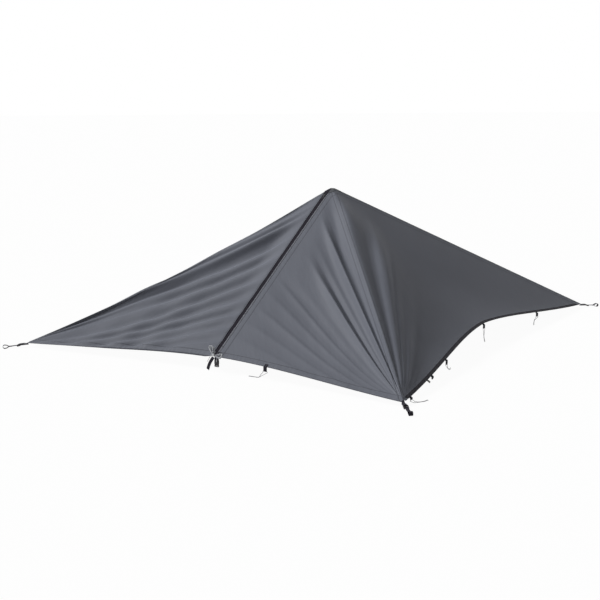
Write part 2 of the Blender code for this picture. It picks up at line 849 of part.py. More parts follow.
def make_slider():
    """Two plates with turned-down rims, joined by the post between the coils."""
    half_length = SLIDER_LENGTH / 2
    half_width = SLIDER_WIDTH / 2
    rim = ZIP_TAPE_THICKNESS / 2 + RUNNING_GAP
    inner = COIL_OUTER + RUNNING_GAP
    nose = rounded_box((-half_length, -half_width), (half_length, half_width), half_width * 0.8, 4)
    lift = (PLATE_REACH + SLIDER_HEIGHT) / 2
    meshes = []
    for side in (1, -1):
        frame = Matrix.Translation((0, 0, side * lift))
        meshes.append(plate_mesh([nose], SLIDER_WALL, frame))
    for across in (-half_width, inner):
        for low, high in ((rim, PLATE_REACH + TOUCH_GAP), (-PLATE_REACH - TOUCH_GAP, -rim)):
            meshes.append(box_mesh(
                (-half_length * 0.7, across, low),
                (half_length * 0.7, across + half_width - inner, high)))
    post = COIL_INNER - TOUCH_GAP
    post_reach = PLATE_REACH + TOUCH_GAP
    meshes.append(box_mesh(
        (-half_length * 0.6, -post, -post_reach), (-half_length * 0.2, post, post_reach)))
    for side in (1, -1):
        near = LUG_HALF_GAP * side
        far = (LUG_HALF_GAP + LUG_THICKNESS) * side
        lug = rounded_box(
            (PULL_AXIS_SHIFT - LUG_REACH, SLIDER_HEIGHT - TOUCH_GAP),
            (PULL_AXIS_SHIFT + LUG_REACH, PULL_AXIS_LIFT + 0.0020), LUG_CORNER)
        frame = Matrix.Translation((0, (near + far) / 2, 0)) @ Matrix.Rotation(math.radians(90), 4, "X")
        meshes.append(plate_mesh([lug], LUG_THICKNESS, frame))
    bar_end = LUG_HALF_GAP + LUG_THICKNESS / 2
    meshes.append(rod_mesh(
        (PULL_AXIS_SHIFT, -bar_end, PULL_AXIS_LIFT), (PULL_AXIS_SHIFT, bar_end, PULL_AXIS_LIFT),
        PULL_BAR_RADIUS))
    piece = add_part("zip_slider", meshes[0], "slider_metal", slider_frame())
    return combine(piece, meshes[1:], "UNION")


def make_pull():
    """A flat tab and ring that swing on the slider's bar."""
    hinge = Matrix.Translation((PULL_AXIS_SHIFT, 0, PULL_AXIS_LIFT))
    tilt = Matrix.Rotation(math.radians(PULL_REST_TILT), 4, "Y")
    frame = slider_frame() @ hinge @ tilt
    ring_centre = PULL_LENGTH - PULL_RING_RADIUS
    neck = LUG_HALF_GAP - RUNNING_GAP
    ring_angle = math.asin(neck / PULL_RING_RADIUS)
    outline = [(0.0, -neck)]
    steps = 16
    for step in range(steps + 1):
        angle = -math.pi + ring_angle + (2 * math.pi - 2 * ring_angle) * step / steps
        outline.append((
            ring_centre + PULL_RING_RADIUS * math.cos(angle), PULL_RING_RADIUS * math.sin(angle)))
    outline.append((0.0, neck))
    hole = circle_points((ring_centre, 0.0), PULL_RING_RADIUS * 0.6)
    tab = plate_mesh([outline, hole], PULL_THICKNESS, Matrix())
    head = rod_mesh((0, -neck, 0), (0, neck, 0), PULL_HEAD_RADIUS)
    bore = rod_mesh((0, -neck * 2, 0), (0, neck * 2, 0), PULL_BAR_RADIUS + TOUCH_GAP)
    piece = add_part("zip_pull", tab, "zip_black", frame)
    combine(piece, [head], "UNION")
    return combine(piece, [bore], "DIFFERENCE")


def make_top_stop():
    """A crimped block at the upper end of the left coil."""
    half = COIL_WIDTH * 0.8
    centre = (COIL_INNER + COIL_OUTER) / 2
    frame = frame_at(
        zip_point(COIL_START - TOUCH_GAP - 0.002, -centre, TAPE_LIFT), ZIP_DOWN, FRONT_LEFT_NORMAL)
    outline = rounded_box((-0.002, -half), (0.002, half), 0.0006)
    return add_part("zip_top_stop", plate_mesh([outline], COIL_HEIGHT, Matrix()), "slider_metal", frame)


# Peak: the cap outside, the patch inside, the eyelet and the pole tip

def peak_spines(cap):
    """Ridge and zip lines round the peak, each with its rim distance."""
    to_zip = zip_point(CAP_ZIP_RIM, ZIP_STRIPE / 2) - PEAK
    front, zip_rim, other = (CAP_FRONT_RIM, to_zip.length, CAP_RIM) if cap else (PATCH_RIM,) * 3
    return (
        (lambda reach: ridge_at("left", reach), other),
        (lambda reach: PEAK + to_zip.normalized() * reach, zip_rim),
        (lambda reach: ridge_at("front", reach), front),
        (lambda reach: ridge_at("right", reach), other),
        (lambda reach: ridge_at("back", reach), other),
    )


def make_peak_shell(name, crown, lift, thickness, cap, hole, material):
    """A small shell that follows the four faces, with a flat crown."""
    spines = peak_spines(cap)
    between = 3
    flat_height = min(spine(crown).z for spine, _ in spines)
    inner = hole if hole else crown * 0.4

    def rim_point(column, reach):
        index, step = divmod(column % (len(spines) * between), between)
        spine, rim = spines[index]
        next_spine, next_rim = spines[(index + 1) % len(spines)]
        start = spine(crown + (rim - crown) * reach)
        end = next_spine(crown + (next_rim - crown) * reach)
        return start.lerp(end, step / between)

    def place(column, row):
        if row > 1:
            return rim_point(column, (row - 2) / 2) + UP * lift
        point = rim_point(column, 0.0)
        flat = Vector((point.x, point.y, flat_height + lift))
        if row == 1:
            return Vector((flat.x * 0.9, flat.y * 0.9, flat.z))
        side = Vector((flat.x, flat.y, 0)).normalized() * inner
        return Vector((side.x, side.y, flat.z))

    columns = len(spines) * between
    work = bmesh.new()
    rings = []
    for row in range(5):
        rings.append([work.verts.new(place(column, row)) for column in range(columns)])
    if not hole:
        work.faces.new(rings[0])
    for inner_ring, outer_ring in zip(rings, rings[1:]):
        for column in range(columns):
            after = (column + 1) % columns
            work.faces.new((
                inner_ring[column], outer_ring[column], outer_ring[after], inner_ring[after]))
    bmesh.ops.recalc_face_normals(work, faces=work.faces)
    work.normal_update()
    if sum(face.normal.z for face in work.faces) < 0:
        bmesh.ops.reverse_faces(work, faces=work.faces)
    piece = add_part(name, mesh_from(work, name), material)
    shell = piece.modifiers.new("thickness", "SOLIDIFY")
    shell.thickness = thickness
    shell.offset = 1.0 if cap else -1.0
    return piece


PATCH_TOP = min(spine(PATCH_CROWN).z for spine, _ in peak_spines(False)) - CLOTH_GAP * 2
PATCH_UNDERSIDE = PATCH_TOP - CAP_THICKNESS
POLE_SHOULDER = PATCH_UNDERSIDE - TOUCH_GAP * 2 - EYELET_WALL


def make_peak():
    """Cap, patch and eyelet at the peak."""
    face_lift = (CLOTH_THICKNESS + CLOTH_GAP) / FRONT_LEFT_NORMAL.z
    make_peak_shell("peak_cap", CAP_CROWN, face_lift, CAP_THICKNESS, True, None, "cloth_dark")
    # The hole has few corners, so they stand out for its flats to clear the barrel
    hole = (EYELET_HOLE + EYELET_WALL + TOUCH_GAP) / cos_deg(24)
    make_peak_shell(
        "peak_patch", PATCH_CROWN, -CLOTH_GAP * 2, CAP_THICKNESS, False, hole, "webbing_black")
    top = PATCH_TOP + TOUCH_GAP
    bottom = PATCH_UNDERSIDE - TOUCH_GAP
    barrel = EYELET_HOLE + EYELET_WALL
    profile = (
        (EYELET_HOLE, top + EYELET_WALL), (EYELET_RADIUS, top + EYELET_WALL),
        (EYELET_RADIUS, top), (barrel, top), (barrel, bottom), (EYELET_RADIUS, bottom),
        (EYELET_RADIUS, bottom - EYELET_WALL), (EYELET_HOLE, bottom - EYELET_WALL),
    )
    turned("peak_eyelet", profile, "eyelet_metal")


# Pole: two tubes, tip, foot and the lever clamp between them

def tube_profile(outer, wall, low, high):
    inner = outer - wall
    return ((outer, high), (outer, low), (inner, low), (inner, high))


def make_pole_upper():
    """The upper tube and the tip that stands in the eyelet."""
    shoulder = POLE_SHOULDER
    plug_radius = UPPER_TUBE_RADIUS - TUBE_WALL - TOUCH_GAP
    tube_top = shoulder - 0.002 - TOUCH_GAP
    turned(
        "pole_upper_tube", tube_profile(UPPER_TUBE_RADIUS, TUBE_WALL, UPPER_TUBE_FOOT, tube_top),
        "tube_aluminium")
    spigot_top = shoulder + SPIGOT_RISE
    profile = (
        (0.0, spigot_top), (SPIGOT_RADIUS * 0.6, spigot_top - 0.0003),
        (SPIGOT_RADIUS, spigot_top - 0.002), (SPIGOT_RADIUS, shoulder),
        (UPPER_TUBE_RADIUS + 0.001, shoulder), (UPPER_TUBE_RADIUS + 0.001, shoulder - 0.002),
        (plug_radius, shoulder - 0.002), (plug_radius, shoulder - 0.022), (0.0, shoulder - 0.022),
    )
    turned("pole_tip", profile, "plastic_black", closed=False)


def make_pole_lower():
    """The lower tube, its rubber foot, the clamp collar, pin and lever."""
    bore = LOWER_TUBE_RADIUS + TOUCH_GAP
    tube_foot = FOOT_SOLE + TOUCH_GAP
    tube = turned(
        "pole_lower_tube", tube_profile(LOWER_TUBE_RADIUS, TUBE_WALL, tube_foot, LOWER_TUBE_TOP),
        "tube_aluminium")
    foot_profile = (
        (0.0, FOOT_SOLE), (bore, FOOT_SOLE), (bore, FOOT_HEIGHT), (FOOT_RADIUS - 0.001, FOOT_HEIGHT),
        (FOOT_RADIUS - 0.001, FOOT_HEIGHT * 0.5), (FOOT_RADIUS, 0.002), (FOOT_RADIUS - 0.0015, 0.0),
        (0.0, 0.0),
    )
    foot = turned("pole_foot", foot_profile, "rubber_black", closed=False)

    outer = bore + COLLAR_WALL
    top = LOWER_TUBE_TOP + COLLAR_HEIGHT * 0.4
    low = top - COLLAR_HEIGHT
    lip = UPPER_TUBE_RADIUS + TOUCH_GAP
    collar_profile = (
        (outer - 0.001, top), (outer, top - 0.001), (outer, low + 0.001), (outer - 0.001, low),
        (bore, low), (bore, LOWER_TUBE_TOP + TOUCH_GAP), (lip, LOWER_TUBE_TOP + TOUCH_GAP), (lip, top),
    )
    collar = turned("pole_clamp_collar", collar_profile, "plastic_black")
    pin_reach = outer + LEVER_CAM_RADIUS + TOUCH_GAP
    pin_height = top - COLLAR_HEIGHT * 0.25
    ear_inner = LEVER_THICKNESS / 2 + RUNNING_GAP
    ears = []
    for side in (1, -1):
        low_x = min(side * ear_inner, side * (ear_inner + EAR_THICKNESS))
        ear = rounded_box(
            (bore + 0.001, pin_height - EAR_MARGIN),
            (pin_reach + EAR_MARGIN, pin_height + EAR_MARGIN), 0.0025)
        frame = frame_at(
            Vector((low_x + EAR_THICKNESS / 2, 0, 0)), Vector((0, -1, 0)), Vector((1, 0, 0)))
        ears.append(plate_mesh([[(y, -z) for y, z in ear][::-1]], EAR_THICKNESS, frame))
    slit = box_mesh((-0.0008, -outer * 1.2, LOWER_TUBE_TOP), (0.0008, -lip * 0.5, top * 1.01))
    combine(collar, [slit], "DIFFERENCE")
    combine(collar, ears, "UNION")
    pin_end = ear_inner + EAR_THICKNESS
    pin_hole = rod_mesh(
        (-pin_end * 1.2, -pin_reach, pin_height), (pin_end * 1.2, -pin_reach, pin_height),
        CLAMP_PIN_RADIUS + TOUCH_GAP)
    combine(collar, [pin_hole], "DIFFERENCE")

    pin = add_part(
        "pole_clamp_pin",
        rod_mesh(
            (-pin_end, -pin_reach, pin_height), (pin_end, -pin_reach, pin_height), CLAMP_PIN_RADIUS),
        "eyelet_metal", smooth=True)

    # The lever hangs down along the collar when it is closed
    outline = []
    for step in range(9):
        angle = 180 * step / 8
        outline.append((LEVER_CAM_RADIUS * cos_deg(angle), LEVER_CAM_RADIUS * sin_deg(angle)))
    outline.append((-LEVER_CAM_RADIUS * 0.9, -LEVER_LENGTH * 0.35))
    outline.append((-LEVER_CAM_RADIUS * 0.3, -LEVER_LENGTH * 0.75))
    outline.append((LEVER_CAM_RADIUS * 0.5, -LEVER_LENGTH))
    outline.append((LEVER_CAM_RADIUS * 1.2, -LEVER_LENGTH))
    outline.append((LEVER_CAM_RADIUS * 0.8, -LEVER_LENGTH * 0.6))
    lever_frame = frame_at(
        Vector((0, -pin_reach, pin_height)), Vector((0, -1, 0)), Vector((1, 0, 0)))
    lever_mesh = plate_mesh([[(x, -y) for x, y in outline][::-1]], LEVER_THICKNESS, Matrix())
    lever = add_part("pole_clamp_lever", lever_mesh, "plastic_black", lever_frame)
    hole = rod_mesh((0, 0, -LEVER_THICKNESS), (0, 0, LEVER_THICKNESS), CLAMP_PIN_RADIUS + TOUCH_GAP)
    combine(lever, [hole], "DIFFERENCE")
    return tube, foot, collar, pin, lever, Vector((0, -pin_reach, pin_height))


# Corners: sewn webbing, ladder-lock buckle and peg strap

MIDDLE_BAR_HEIGHT = WEBBING_THICKNESS / 2 + RUNNING_GAP + BAR_RADIUS
FRONT_BAR_HEIGHT = -MIDDLE_BAR_HEIGHT
LOOP_RADIUS = BAR_RADIUS + TOUCH_GAP + WEBBING_THICKNESS / 2
NEIGHBOURS = {
    "left": ("front", "back"), "right": ("front", "back"),
    "front": ("left", "right"), "back": ("left", "right"),
}


def corner_frame(corner):
    """X runs out along the peg strap, Z is up; the strap's middle is at Z = 0."""
    plan = Vector((CORNERS[corner].x, CORNERS[corner].y, 0)).normalized()
    x_axis = plan * cos_deg(STRAP_SLOPE) - UP * sin_deg(STRAP_SLOPE)
    frame = frame_at(Vector(), x_axis, UP)
    return Matrix.Translation(CORNERS[corner] - frame @ Vector((0, 0, TIP_HEIGHT))) @ frame


def bar_loop(centre_x, centre_z, radius, start, end, steps):
    """Points round a bar, from one angle to another."""
    points = []
    for step in range(steps + 1):
        angle = start + (end - start) * step / steps
        points.append((centre_x + radius * cos_deg(angle), centre_z + radius * sin_deg(angle)))
    return points


def make_corner_webbing(corner):
    """Webbing sewn under the ridge, round the buckle's fixed bar and back."""
    frame = corner_frame(corner)
    side_axis = frame.to_3x3() @ Vector((0, 1, 0))
    half = WEBBING_WIDTH / 2
    faces = []
    for other in NEIGHBOURS[corner]:
        faces.append((inward_of(corner, CORNERS[other]), face_normal(corner, other)))
    faces.sort(key=lambda face: face[0].dot(side_axis))
    bisector = (faces[0][1] + faces[1][1]).normalized()
    depth = CLOTH_GAP + WEBBING_THICKNESS / 2
    stations = []
    for distance in (CORNER_SEWN, CORNER_SEWN * 0.66, CORNER_SEWN * 0.33, TOUCH_GAP):
        centre = ridge_point(corner, distance / ridge_length(corner))
        left = centre + faces[0][0] * half - faces[0][1] * depth
        right = centre + faces[1][0] * half - faces[1][1] * depth
        middle = centre - bisector * (depth / bisector.dot(faces[0][1]))
        stations.append((left, middle, right))
    drop = half * math.tan(faces[0][1].angle(faces[1][1]) / 2)
    sewn_height = UPPER_RUN_HEIGHT - WEBBING_THICKNESS - TOUCH_GAP
    runs = [(CORNER_FLAT * 0.4, UPPER_RUN_HEIGHT, 0.5), (CORNER_FLAT, UPPER_RUN_HEIGHT, 0.0)]
    loop = bar_loop(FIXED_BAR_REACH, FIXED_BAR_HEIGHT, LOOP_RADIUS, 90, -90, 6)
    runs += [(x, z, 0.0) for x, z in loop]
    runs += [(FIXED_BAR_REACH - 0.006, sewn_height - 0.001, 0.0), (CORNER_FLAT + 0.006, sewn_height, 0.0)]
    runs.append((CORNER_FLAT + 0.002, sewn_height, 0.0))
    for x, z, share in runs:
        low = z - drop * share
        row = ((x, -half, low), (x, 0, z), (x, half, low))
        stations.append(tuple(frame @ Vector(point) for point in row))
    return ribbon(f"{corner}_corner_webbing", stations, WEBBING_THICKNESS, "webbing_black")


def make_corner_buckle(corner):
    """A ladder lock: two rails, the fixed bar and the two strap bars."""
    bars = (
        (FIXED_BAR_REACH, FIXED_BAR_HEIGHT), (MIDDLE_BAR_REACH, MIDDLE_BAR_HEIGHT),
        (FRONT_BAR_REACH, FRONT_BAR_HEIGHT),
    )
    wall = BAR_RADIUS + RAIL_WALL
    (back_x, back_z), (middle_x, middle_z), (front_x, front_z) = bars
    outline = (
        (back_x - wall, back_z - wall * 0.6), (back_x + wall * 0.4, back_z - wall * 1.2),
        (middle_x - wall, middle_z - wall * 1.7), (front_x - wall, front_z - wall * 0.9),
        (front_x + wall * 0.8, front_z - wall * 0.8), (front_x + wall * 1.3, front_z + wall * 0.2),
        (front_x + wall * 0.8, front_z + wall), (middle_x + wall * 0.6, middle_z + wall * 1.0),
        (back_x + wall * 0.6, back_z + wall), (back_x - wall * 0.7, back_z + wall * 0.7),
    )
    rail_inner = WEBBING_WIDTH / 2 + 2 * RUNNING_GAP
    rail_middle = rail_inner + RAIL_THICKNESS / 2
    meshes = []
    for side in (1, -1):
        frame = Matrix.Translation((0, side * rail_middle, 0))
        frame = frame @ Matrix.Rotation(math.radians(90), 4, "X")
        meshes.append(plate_mesh([outline], RAIL_THICKNESS, frame))
    for x, z in bars:
        meshes.append(rod_mesh((x, -rail_middle, z), (x, rail_middle, z), BAR_RADIUS, 10))
    piece = add_part(f"{corner}_ladder_lock", meshes[0], "plastic_black", corner_frame(corner))
    return combine(piece, meshes[1:], "UNION")


def make_peg_strap(corner):
    """The strap through the ladder lock, folded and sewn into a peg eye.

    In front of the lock it dips a little and lies flat up to the eye's neck.
    """
    neck = PEG_EYE_REACH - PEG_EYE_NECK
    flat = -PEG_STRAP_DIP
    under = flat - WEBBING_THICKNESS - TOUCH_GAP
    route = [(-STRAP_TAIL, 0.0), (FIXED_BAR_REACH, 0.0), (FRONT_BAR_REACH, 0.0)]
    route += [(PEG_STRAP_FLAT, flat), (neck, flat)]
    route += [
        (neck + PEG_EYE_NECK * 0.35, PEG_EYE_RADIUS * 0.50),
        (neck + PEG_EYE_NECK * 0.70, PEG_EYE_RADIUS * 0.88),
    ]
    route += bar_loop(PEG_EYE_REACH, 0.0, PEG_EYE_RADIUS, 90, -90, 8)
    route += [
        (neck + PEG_EYE_NECK * 0.66, -PEG_EYE_RADIUS * 0.90),
        (neck + PEG_EYE_NECK * 0.30, -PEG_EYE_RADIUS * 0.56),
        (neck + 0.001, under), (neck - PEG_EYE_SEWN, under),
    ]
    stations = flat_stations([(x, 0, z) for x, z in route], Vector((0, 1, 0)), WEBBING_WIDTH)
    name = f"{corner}_peg_strap"
    return ribbon(name, stations, WEBBING_THICKNESS, "webbing_black", frame=corner_frame(corner))


# Foot of the zip: webbing, release buckle, strap tail and wound guy line

FOOT_LIFT = CLOTH_THICKNESS + CLOTH_GAP + WEBBING_THICKNESS / 2
SOCKET_START = FOOT_DROP + LOOP_RADIUS + WEBBING_THICKNESS / 2 + RUNNING_GAP
SOCKET_MOUTH = SOCKET_START + SOCKET_LENGTH
HANK_PITCH = GUY_LINE_DIAMETER + CLOTH_GAP
HANK_TILT = 30
HANK_CENTRE = Vector((-0.010, -0.004, 0.009))


def foot_frame():
    """X hangs straight down, Y runs along the hem, Z points outwards."""
    y_axis = Vector((ZIP_ACROSS.x, ZIP_ACROSS.y, 0)).normalized()
    z_axis = DOWN.cross(y_axis)
    origin = zip_point(ZIP_LENGTH + 0.003, FOOT_WEBBING_SHIFT, FOOT_LIFT) + z_axis * 0.001
    return frame_at(origin, DOWN, z_axis)


def make_foot_webbing():
    """Webbing sewn to the door beside the zip, round the socket's bar."""
    frame = foot_frame()
    half = FOOT_WEBBING_WIDTH / 2
    stations = []
    for distance in (ZIP_LENGTH - FOOT_WEBBING_SEWN, ZIP_LENGTH - 0.012, ZIP_LENGTH - 0.001):
        low = zip_point(distance, FOOT_WEBBING_SHIFT - half, FOOT_LIFT)
        stations.append((low, low + ZIP_ACROSS * FOOT_WEBBING_WIDTH))
    route = [(FOOT_DROP * 0.3, LOOP_RADIUS * 0.9), (FOOT_DROP, LOOP_RADIUS)]
    route += bar_loop(FOOT_DROP, 0.0, LOOP_RADIUS, 60, -90, 5)
    route += [(FOOT_DROP * 0.6, -LOOP_RADIUS * 0.7), (FOOT_DROP * 0.25, -LOOP_RADIUS * 0.2)]
    for x, z in route:
        stations.append((frame @ Vector((x, -half, z)), frame @ Vector((x, half, z))))
    return ribbon("foot_webbing", stations, WEBBING_THICKNESS, "webbing_black")


def make_buckle_socket():
    """The fixed half: a hollow shell with side windows and a webbing bar."""
    half = BUCKLE_WIDTH / 2
    thick = BUCKLE_THICKNESS / 2
    shell = rounded_box((SOCKET_START, -half), (SOCKET_MOUTH, half), 0.004)
    body = plate_mesh([shell], BUCKLE_THICKNESS, Matrix())
    piece = add_part("foot_buckle_socket", body, "plastic_black", foot_frame())
    lug_inner = FOOT_WEBBING_WIDTH / 2 + RUNNING_GAP
    lug_half = BAR_RADIUS * 1.15
    additions = []
    for side in (1, -1):
        low = min(side * lug_inner, side * half)
        additions.append(box_mesh(
            (FOOT_DROP - lug_half, low, -lug_half),
            (SOCKET_START + 0.005, low + half - lug_inner, lug_half)))
    bar_end = half - 0.0005
    additions.append(rod_mesh((FOOT_DROP, -bar_end, 0), (FOOT_DROP, bar_end, 0), BAR_RADIUS, 10))
    combine(piece, additions, "UNION")
    cavity_y = half - BUCKLE_WALL
    cavity_z = thick - BUCKLE_WALL
    cavity = box_mesh(
        (SOCKET_MOUTH - PRONG_LENGTH - 0.002, -cavity_y, -cavity_z),
        (SOCKET_MOUTH + 0.002, cavity_y, cavity_z))
    window = box_mesh(
        (SOCKET_MOUTH - PRONG_LENGTH * 0.85, -half * 1.2, -cavity_z * 0.8),
        (SOCKET_MOUTH - PRONG_LENGTH * 0.35, half * 1.2, cavity_z * 0.8))
    return combine(piece, [cavity, window], "DIFFERENCE")


def make_buckle_plug():
    """The half that releases: base with a strap slot, two prongs and a tongue."""
    half = BUCKLE_WIDTH / 2
    prong_outer = half - BUCKLE_WALL - RUNNING_GAP
    prong_thick = BUCKLE_THICKNESS - 2 * (BUCKLE_WALL + RUNNING_GAP)
    base_start = SOCKET_MOUTH + TOUCH_GAP
    base_end = base_start + PLUG_BASE_LENGTH
    base = rounded_box((base_start, -half), (base_end, half), 0.003)
    slot_half = WEBBING_WIDTH / 2 + RUNNING_GAP
    slot = rounded_box((base_end - 0.0065, -slot_half), (base_end - 0.003, slot_half), 0.001)
    meshes = [plate_mesh([base, slot], BUCKLE_THICKNESS * 0.75, Matrix())]
    tip = SOCKET_MOUTH - PRONG_LENGTH
    for side in (1, -1):
        outer = prong_outer * side
        inner = (prong_outer - PRONG_WIDTH) * side
        prong = [
            (base_start + 0.002, outer), (tip + 0.004, outer), (tip, outer - 0.0016 * side),
            (tip, inner), (tip + 0.005, inner), (base_start + 0.002, inner + 0.0012 * side),
        ]
        meshes.append(plate_mesh([prong], prong_thick, Matrix()))
    tongue = rounded_box((tip + 0.004, -0.002), (base_start + 0.002, 0.002), 0.0012)
    meshes.append(plate_mesh([tongue], prong_thick * 0.8, Matrix()))
    piece = add_part("foot_buckle_plug", meshes[0], "plastic_black", foot_frame())
    return combine(piece, meshes[1:], "UNION")


def make_strap_tail():
    """The loose end of the foot webbing, hanging to the ground on the left."""
    down = Vector((cos_deg(STRAP_TAIL_LEAN), -sin_deg(STRAP_TAIL_LEAN), 0))
    across = Vector((sin_deg(STRAP_TAIL_LEAN), cos_deg(STRAP_TAIL_LEAN), 0))
    half = WEBBING_WIDTH / 2
    start = Vector((0.001, -FOOT_WEBBING_WIDTH / 2 - CLOTH_GAP - half * across.y, 0.002))
    steps = 8
    route = []
    for step in range(steps + 1):
        share = step / steps
        bow = Vector((0, 0, STRAP_TAIL_BOW * math.sin(math.pi * share)))
        route.append(start + down * STRAP_TAIL_LENGTH * share + bow)
    stations = flat_stations(route, across, WEBBING_WIDTH)
    return ribbon("foot_strap_tail", stations, WEBBING_THICKNESS, "webbing_black", frame=foot_frame())


def hank_frame():
    tilt = Matrix.Rotation(math.radians(-HANK_TILT), 4, "Y")
    return foot_frame() @ Matrix.Translation(HANK_CENTRE) @ tilt


HANK_LOBES = ((122, HANK_LONG_LOBE), (6, HANK_SHORT_LOBE))
HANK_SHIFT = GUY_LINE_DIAMETER * 0.75
HANK_TOP = HANK_PITCH * HANK_LOOPS


def hank_direction(angle):
    """A direction in the hank's plane, measured up from the right."""
    return Vector((-sin_deg(angle), cos_deg(angle), 0))


def hank_axes():
    """The direction through the waist, to the right, and the one up across it."""
    through = (hank_direction(HANK_LOBES[1][0]) - hank_direction(HANK_LOBES[0][0])).normalized()
    return through, Vector((-through.y, through.x, 0))


def hank_lobe(lobe, loop):
    """One lobe of one loop, from the waist round and back to it."""
    through, across = hank_axes()
    angle, length = HANK_LOBES[lobe]
    middle = loop - (HANK_LOOPS - 1) / 2
    forward = hank_direction(angle + HANK_FAN * middle)
    sideways = Vector((-forward.y, forward.x, 0))
    sign = -1 if lobe == 0 else 1
    if across.dot(sideways) * sign < 0:
        sideways = -sideways
    waist = through * HANK_WAIST / 2 * sign
    points = []
    for step in range(LOBE_STEPS):
        share = step / (LOBE_STEPS - 1)
        point = waist + forward * length * (1 + HANK_SPREAD * middle) * math.sin(math.pi * share)
        point += sideways * HANK_LOBE_WIDTH * math.sin(2 * math.pi * share)
        point += across * HANK_SHIFT * sign * math.cos(math.pi * share)
        point.z = HANK_PITCH * (loop + (lobe + share) / 2)
        points.append(point)
    return points


def make_hank():
    """The guy line, wound in two lobes whose strands pass through one waist."""
    through, across = hank_axes()
    low_side = across * -HANK_SHIFT
    to_hank = hank_frame().inverted() @ foot_frame()
    socket_face = Vector((SOCKET_START + SOCKET_LENGTH * 0.3, 0.0035, BUCKLE_THICKNESS / 2 + TOUCH_GAP))
    lead = [to_hank @ socket_face, to_hank @ (socket_face + Vector((0, 0, GUY_LINE_DIAMETER * 1.3)))]
    for place in HANK_LEAD:
        lead.append(to_hank @ Vector(place))
    lead.append(low_side + through * (HANK_WAIST / 2 + 0.005))
    lead.append(low_side + through * HANK_WAIST / 2)
    points = smooth_route(lead, 2)[:-1]
    for loop in range(HANK_LOOPS):
        points += hank_lobe(0, loop)
        points += hank_lobe(1, loop)
    leave = low_side - through * HANK_WAIST / 2 + Vector((0, 0, HANK_TOP))
    tail = [leave]
    for down, right in HANK_TAIL:
        tail.append(leave + Vector((down, right, 0)))
    points += smooth_route(tail, 2)
    frame = hank_frame()
    placed = [frame @ point for point in points]
    gap = least_gap(placed, GUY_LINE_DIAMETER)
    length = sum((after - before).length for before, after in zip(placed, placed[1:]))
    print(f"guy line: {length:.2f} m long, least gap to itself {gap * 1000:.2f} mm")
    return cord("guy_line_hank", placed, GUY_LINE_DIAMETER, "cord_grey", resolution=1)


def make_hank_wrap():
    """A short sleeve round the waist of the hank."""
    through, across = hank_axes()
    inner_wide = HANK_SHIFT + GUY_LINE_DIAMETER / 2 + CLOTH_GAP
    inner_deep = HANK_TOP / 2 + GUY_LINE_DIAMETER / 2 + CLOTH_GAP
    outlines = []
    for wall in (WRAP_WALL, 0.0):
        wide = inner_wide + wall
        deep = inner_deep + wall
        outlines.append(rounded_box((-wide, -deep), (wide, deep), WRAP_CORNER + wall))
    axis_frame = frame_at(Vector((0, 0, HANK_TOP / 2)), across, through)
    mesh = plate_mesh(outlines, HANK_WAIST - 2 * GUY_LINE_DIAMETER, axis_frame)
    return add_part("guy_line_wrap", mesh, "wrap_silver", hank_frame())


# Tabs, ties and the blank label along the lower edges

def level_outward(along, normal):
    """The level direction square to an edge, pointing away from the tarp."""
    outward = DOWN.cross(along).normalized()
    return outward if outward.dot(Vector((normal.x, normal.y, 0))) > 0 else -outward


def make_tab(name, panel, rise, bound=False, outside=False, drop=TAB_DROP, gap=CLOTH_GAP):
    """A loop of webbing sewn to the edge; returns the piece and its eye."""
    origin, along, into, normal = panel.edge_frame(rise)
    outward = level_outward(along, normal)
    half = WEBBING_THICKNESS / 2
    under = -gap - half
    if bound:
        under -= BINDING_GAP + BINDING_THICKNESS
    turn = TAB_EYE_RADIUS + half
    if outside:
        top = CLOTH_THICKNESS + CLOTH_GAP + half
        route = [
            origin + into * TAB_SEWN + normal * top, origin + normal * top,
            origin - into * 0.003 + normal * (top - 0.0006),
        ]
        bend = origin + outward * TAB_LIP + DOWN * 0.006
        inner_end = under
    else:
        route = [
            origin + into * TAB_SEWN + normal * under, origin + normal * under,
            origin - into * TAB_REACH + normal * under,
        ]
        bend = route[-1] + outward * 0.002 + DOWN * 0.003
        inner_end = under - WEBBING_THICKNESS - TOUCH_GAP
    route.append(bend)
    bottom = bend + DOWN * drop
    centre = bottom - outward * turn
    for step in range(5):
        angle = -180 * step / 4
        route.append(centre + outward * turn * cos_deg(angle) + UP * turn * sin_deg(angle))
    back_top = bend - outward * turn * 2
    if outside:
        route += [back_top + UP * 0.0005, origin + into * 0.006 + normal * inner_end]
    else:
        route += [back_top + DOWN * 0.004, origin - into * 0.002 + normal * inner_end]
    route.append(origin + into * (TAB_SEWN - 0.002) + normal * inner_end)
    stations = flat_stations(route, along, WEBBING_WIDTH)
    piece = ribbon(name, stations, WEBBING_THICKNESS, "webbing_black")
    eye = frame_at(centre, along, UP)
    return piece, eye


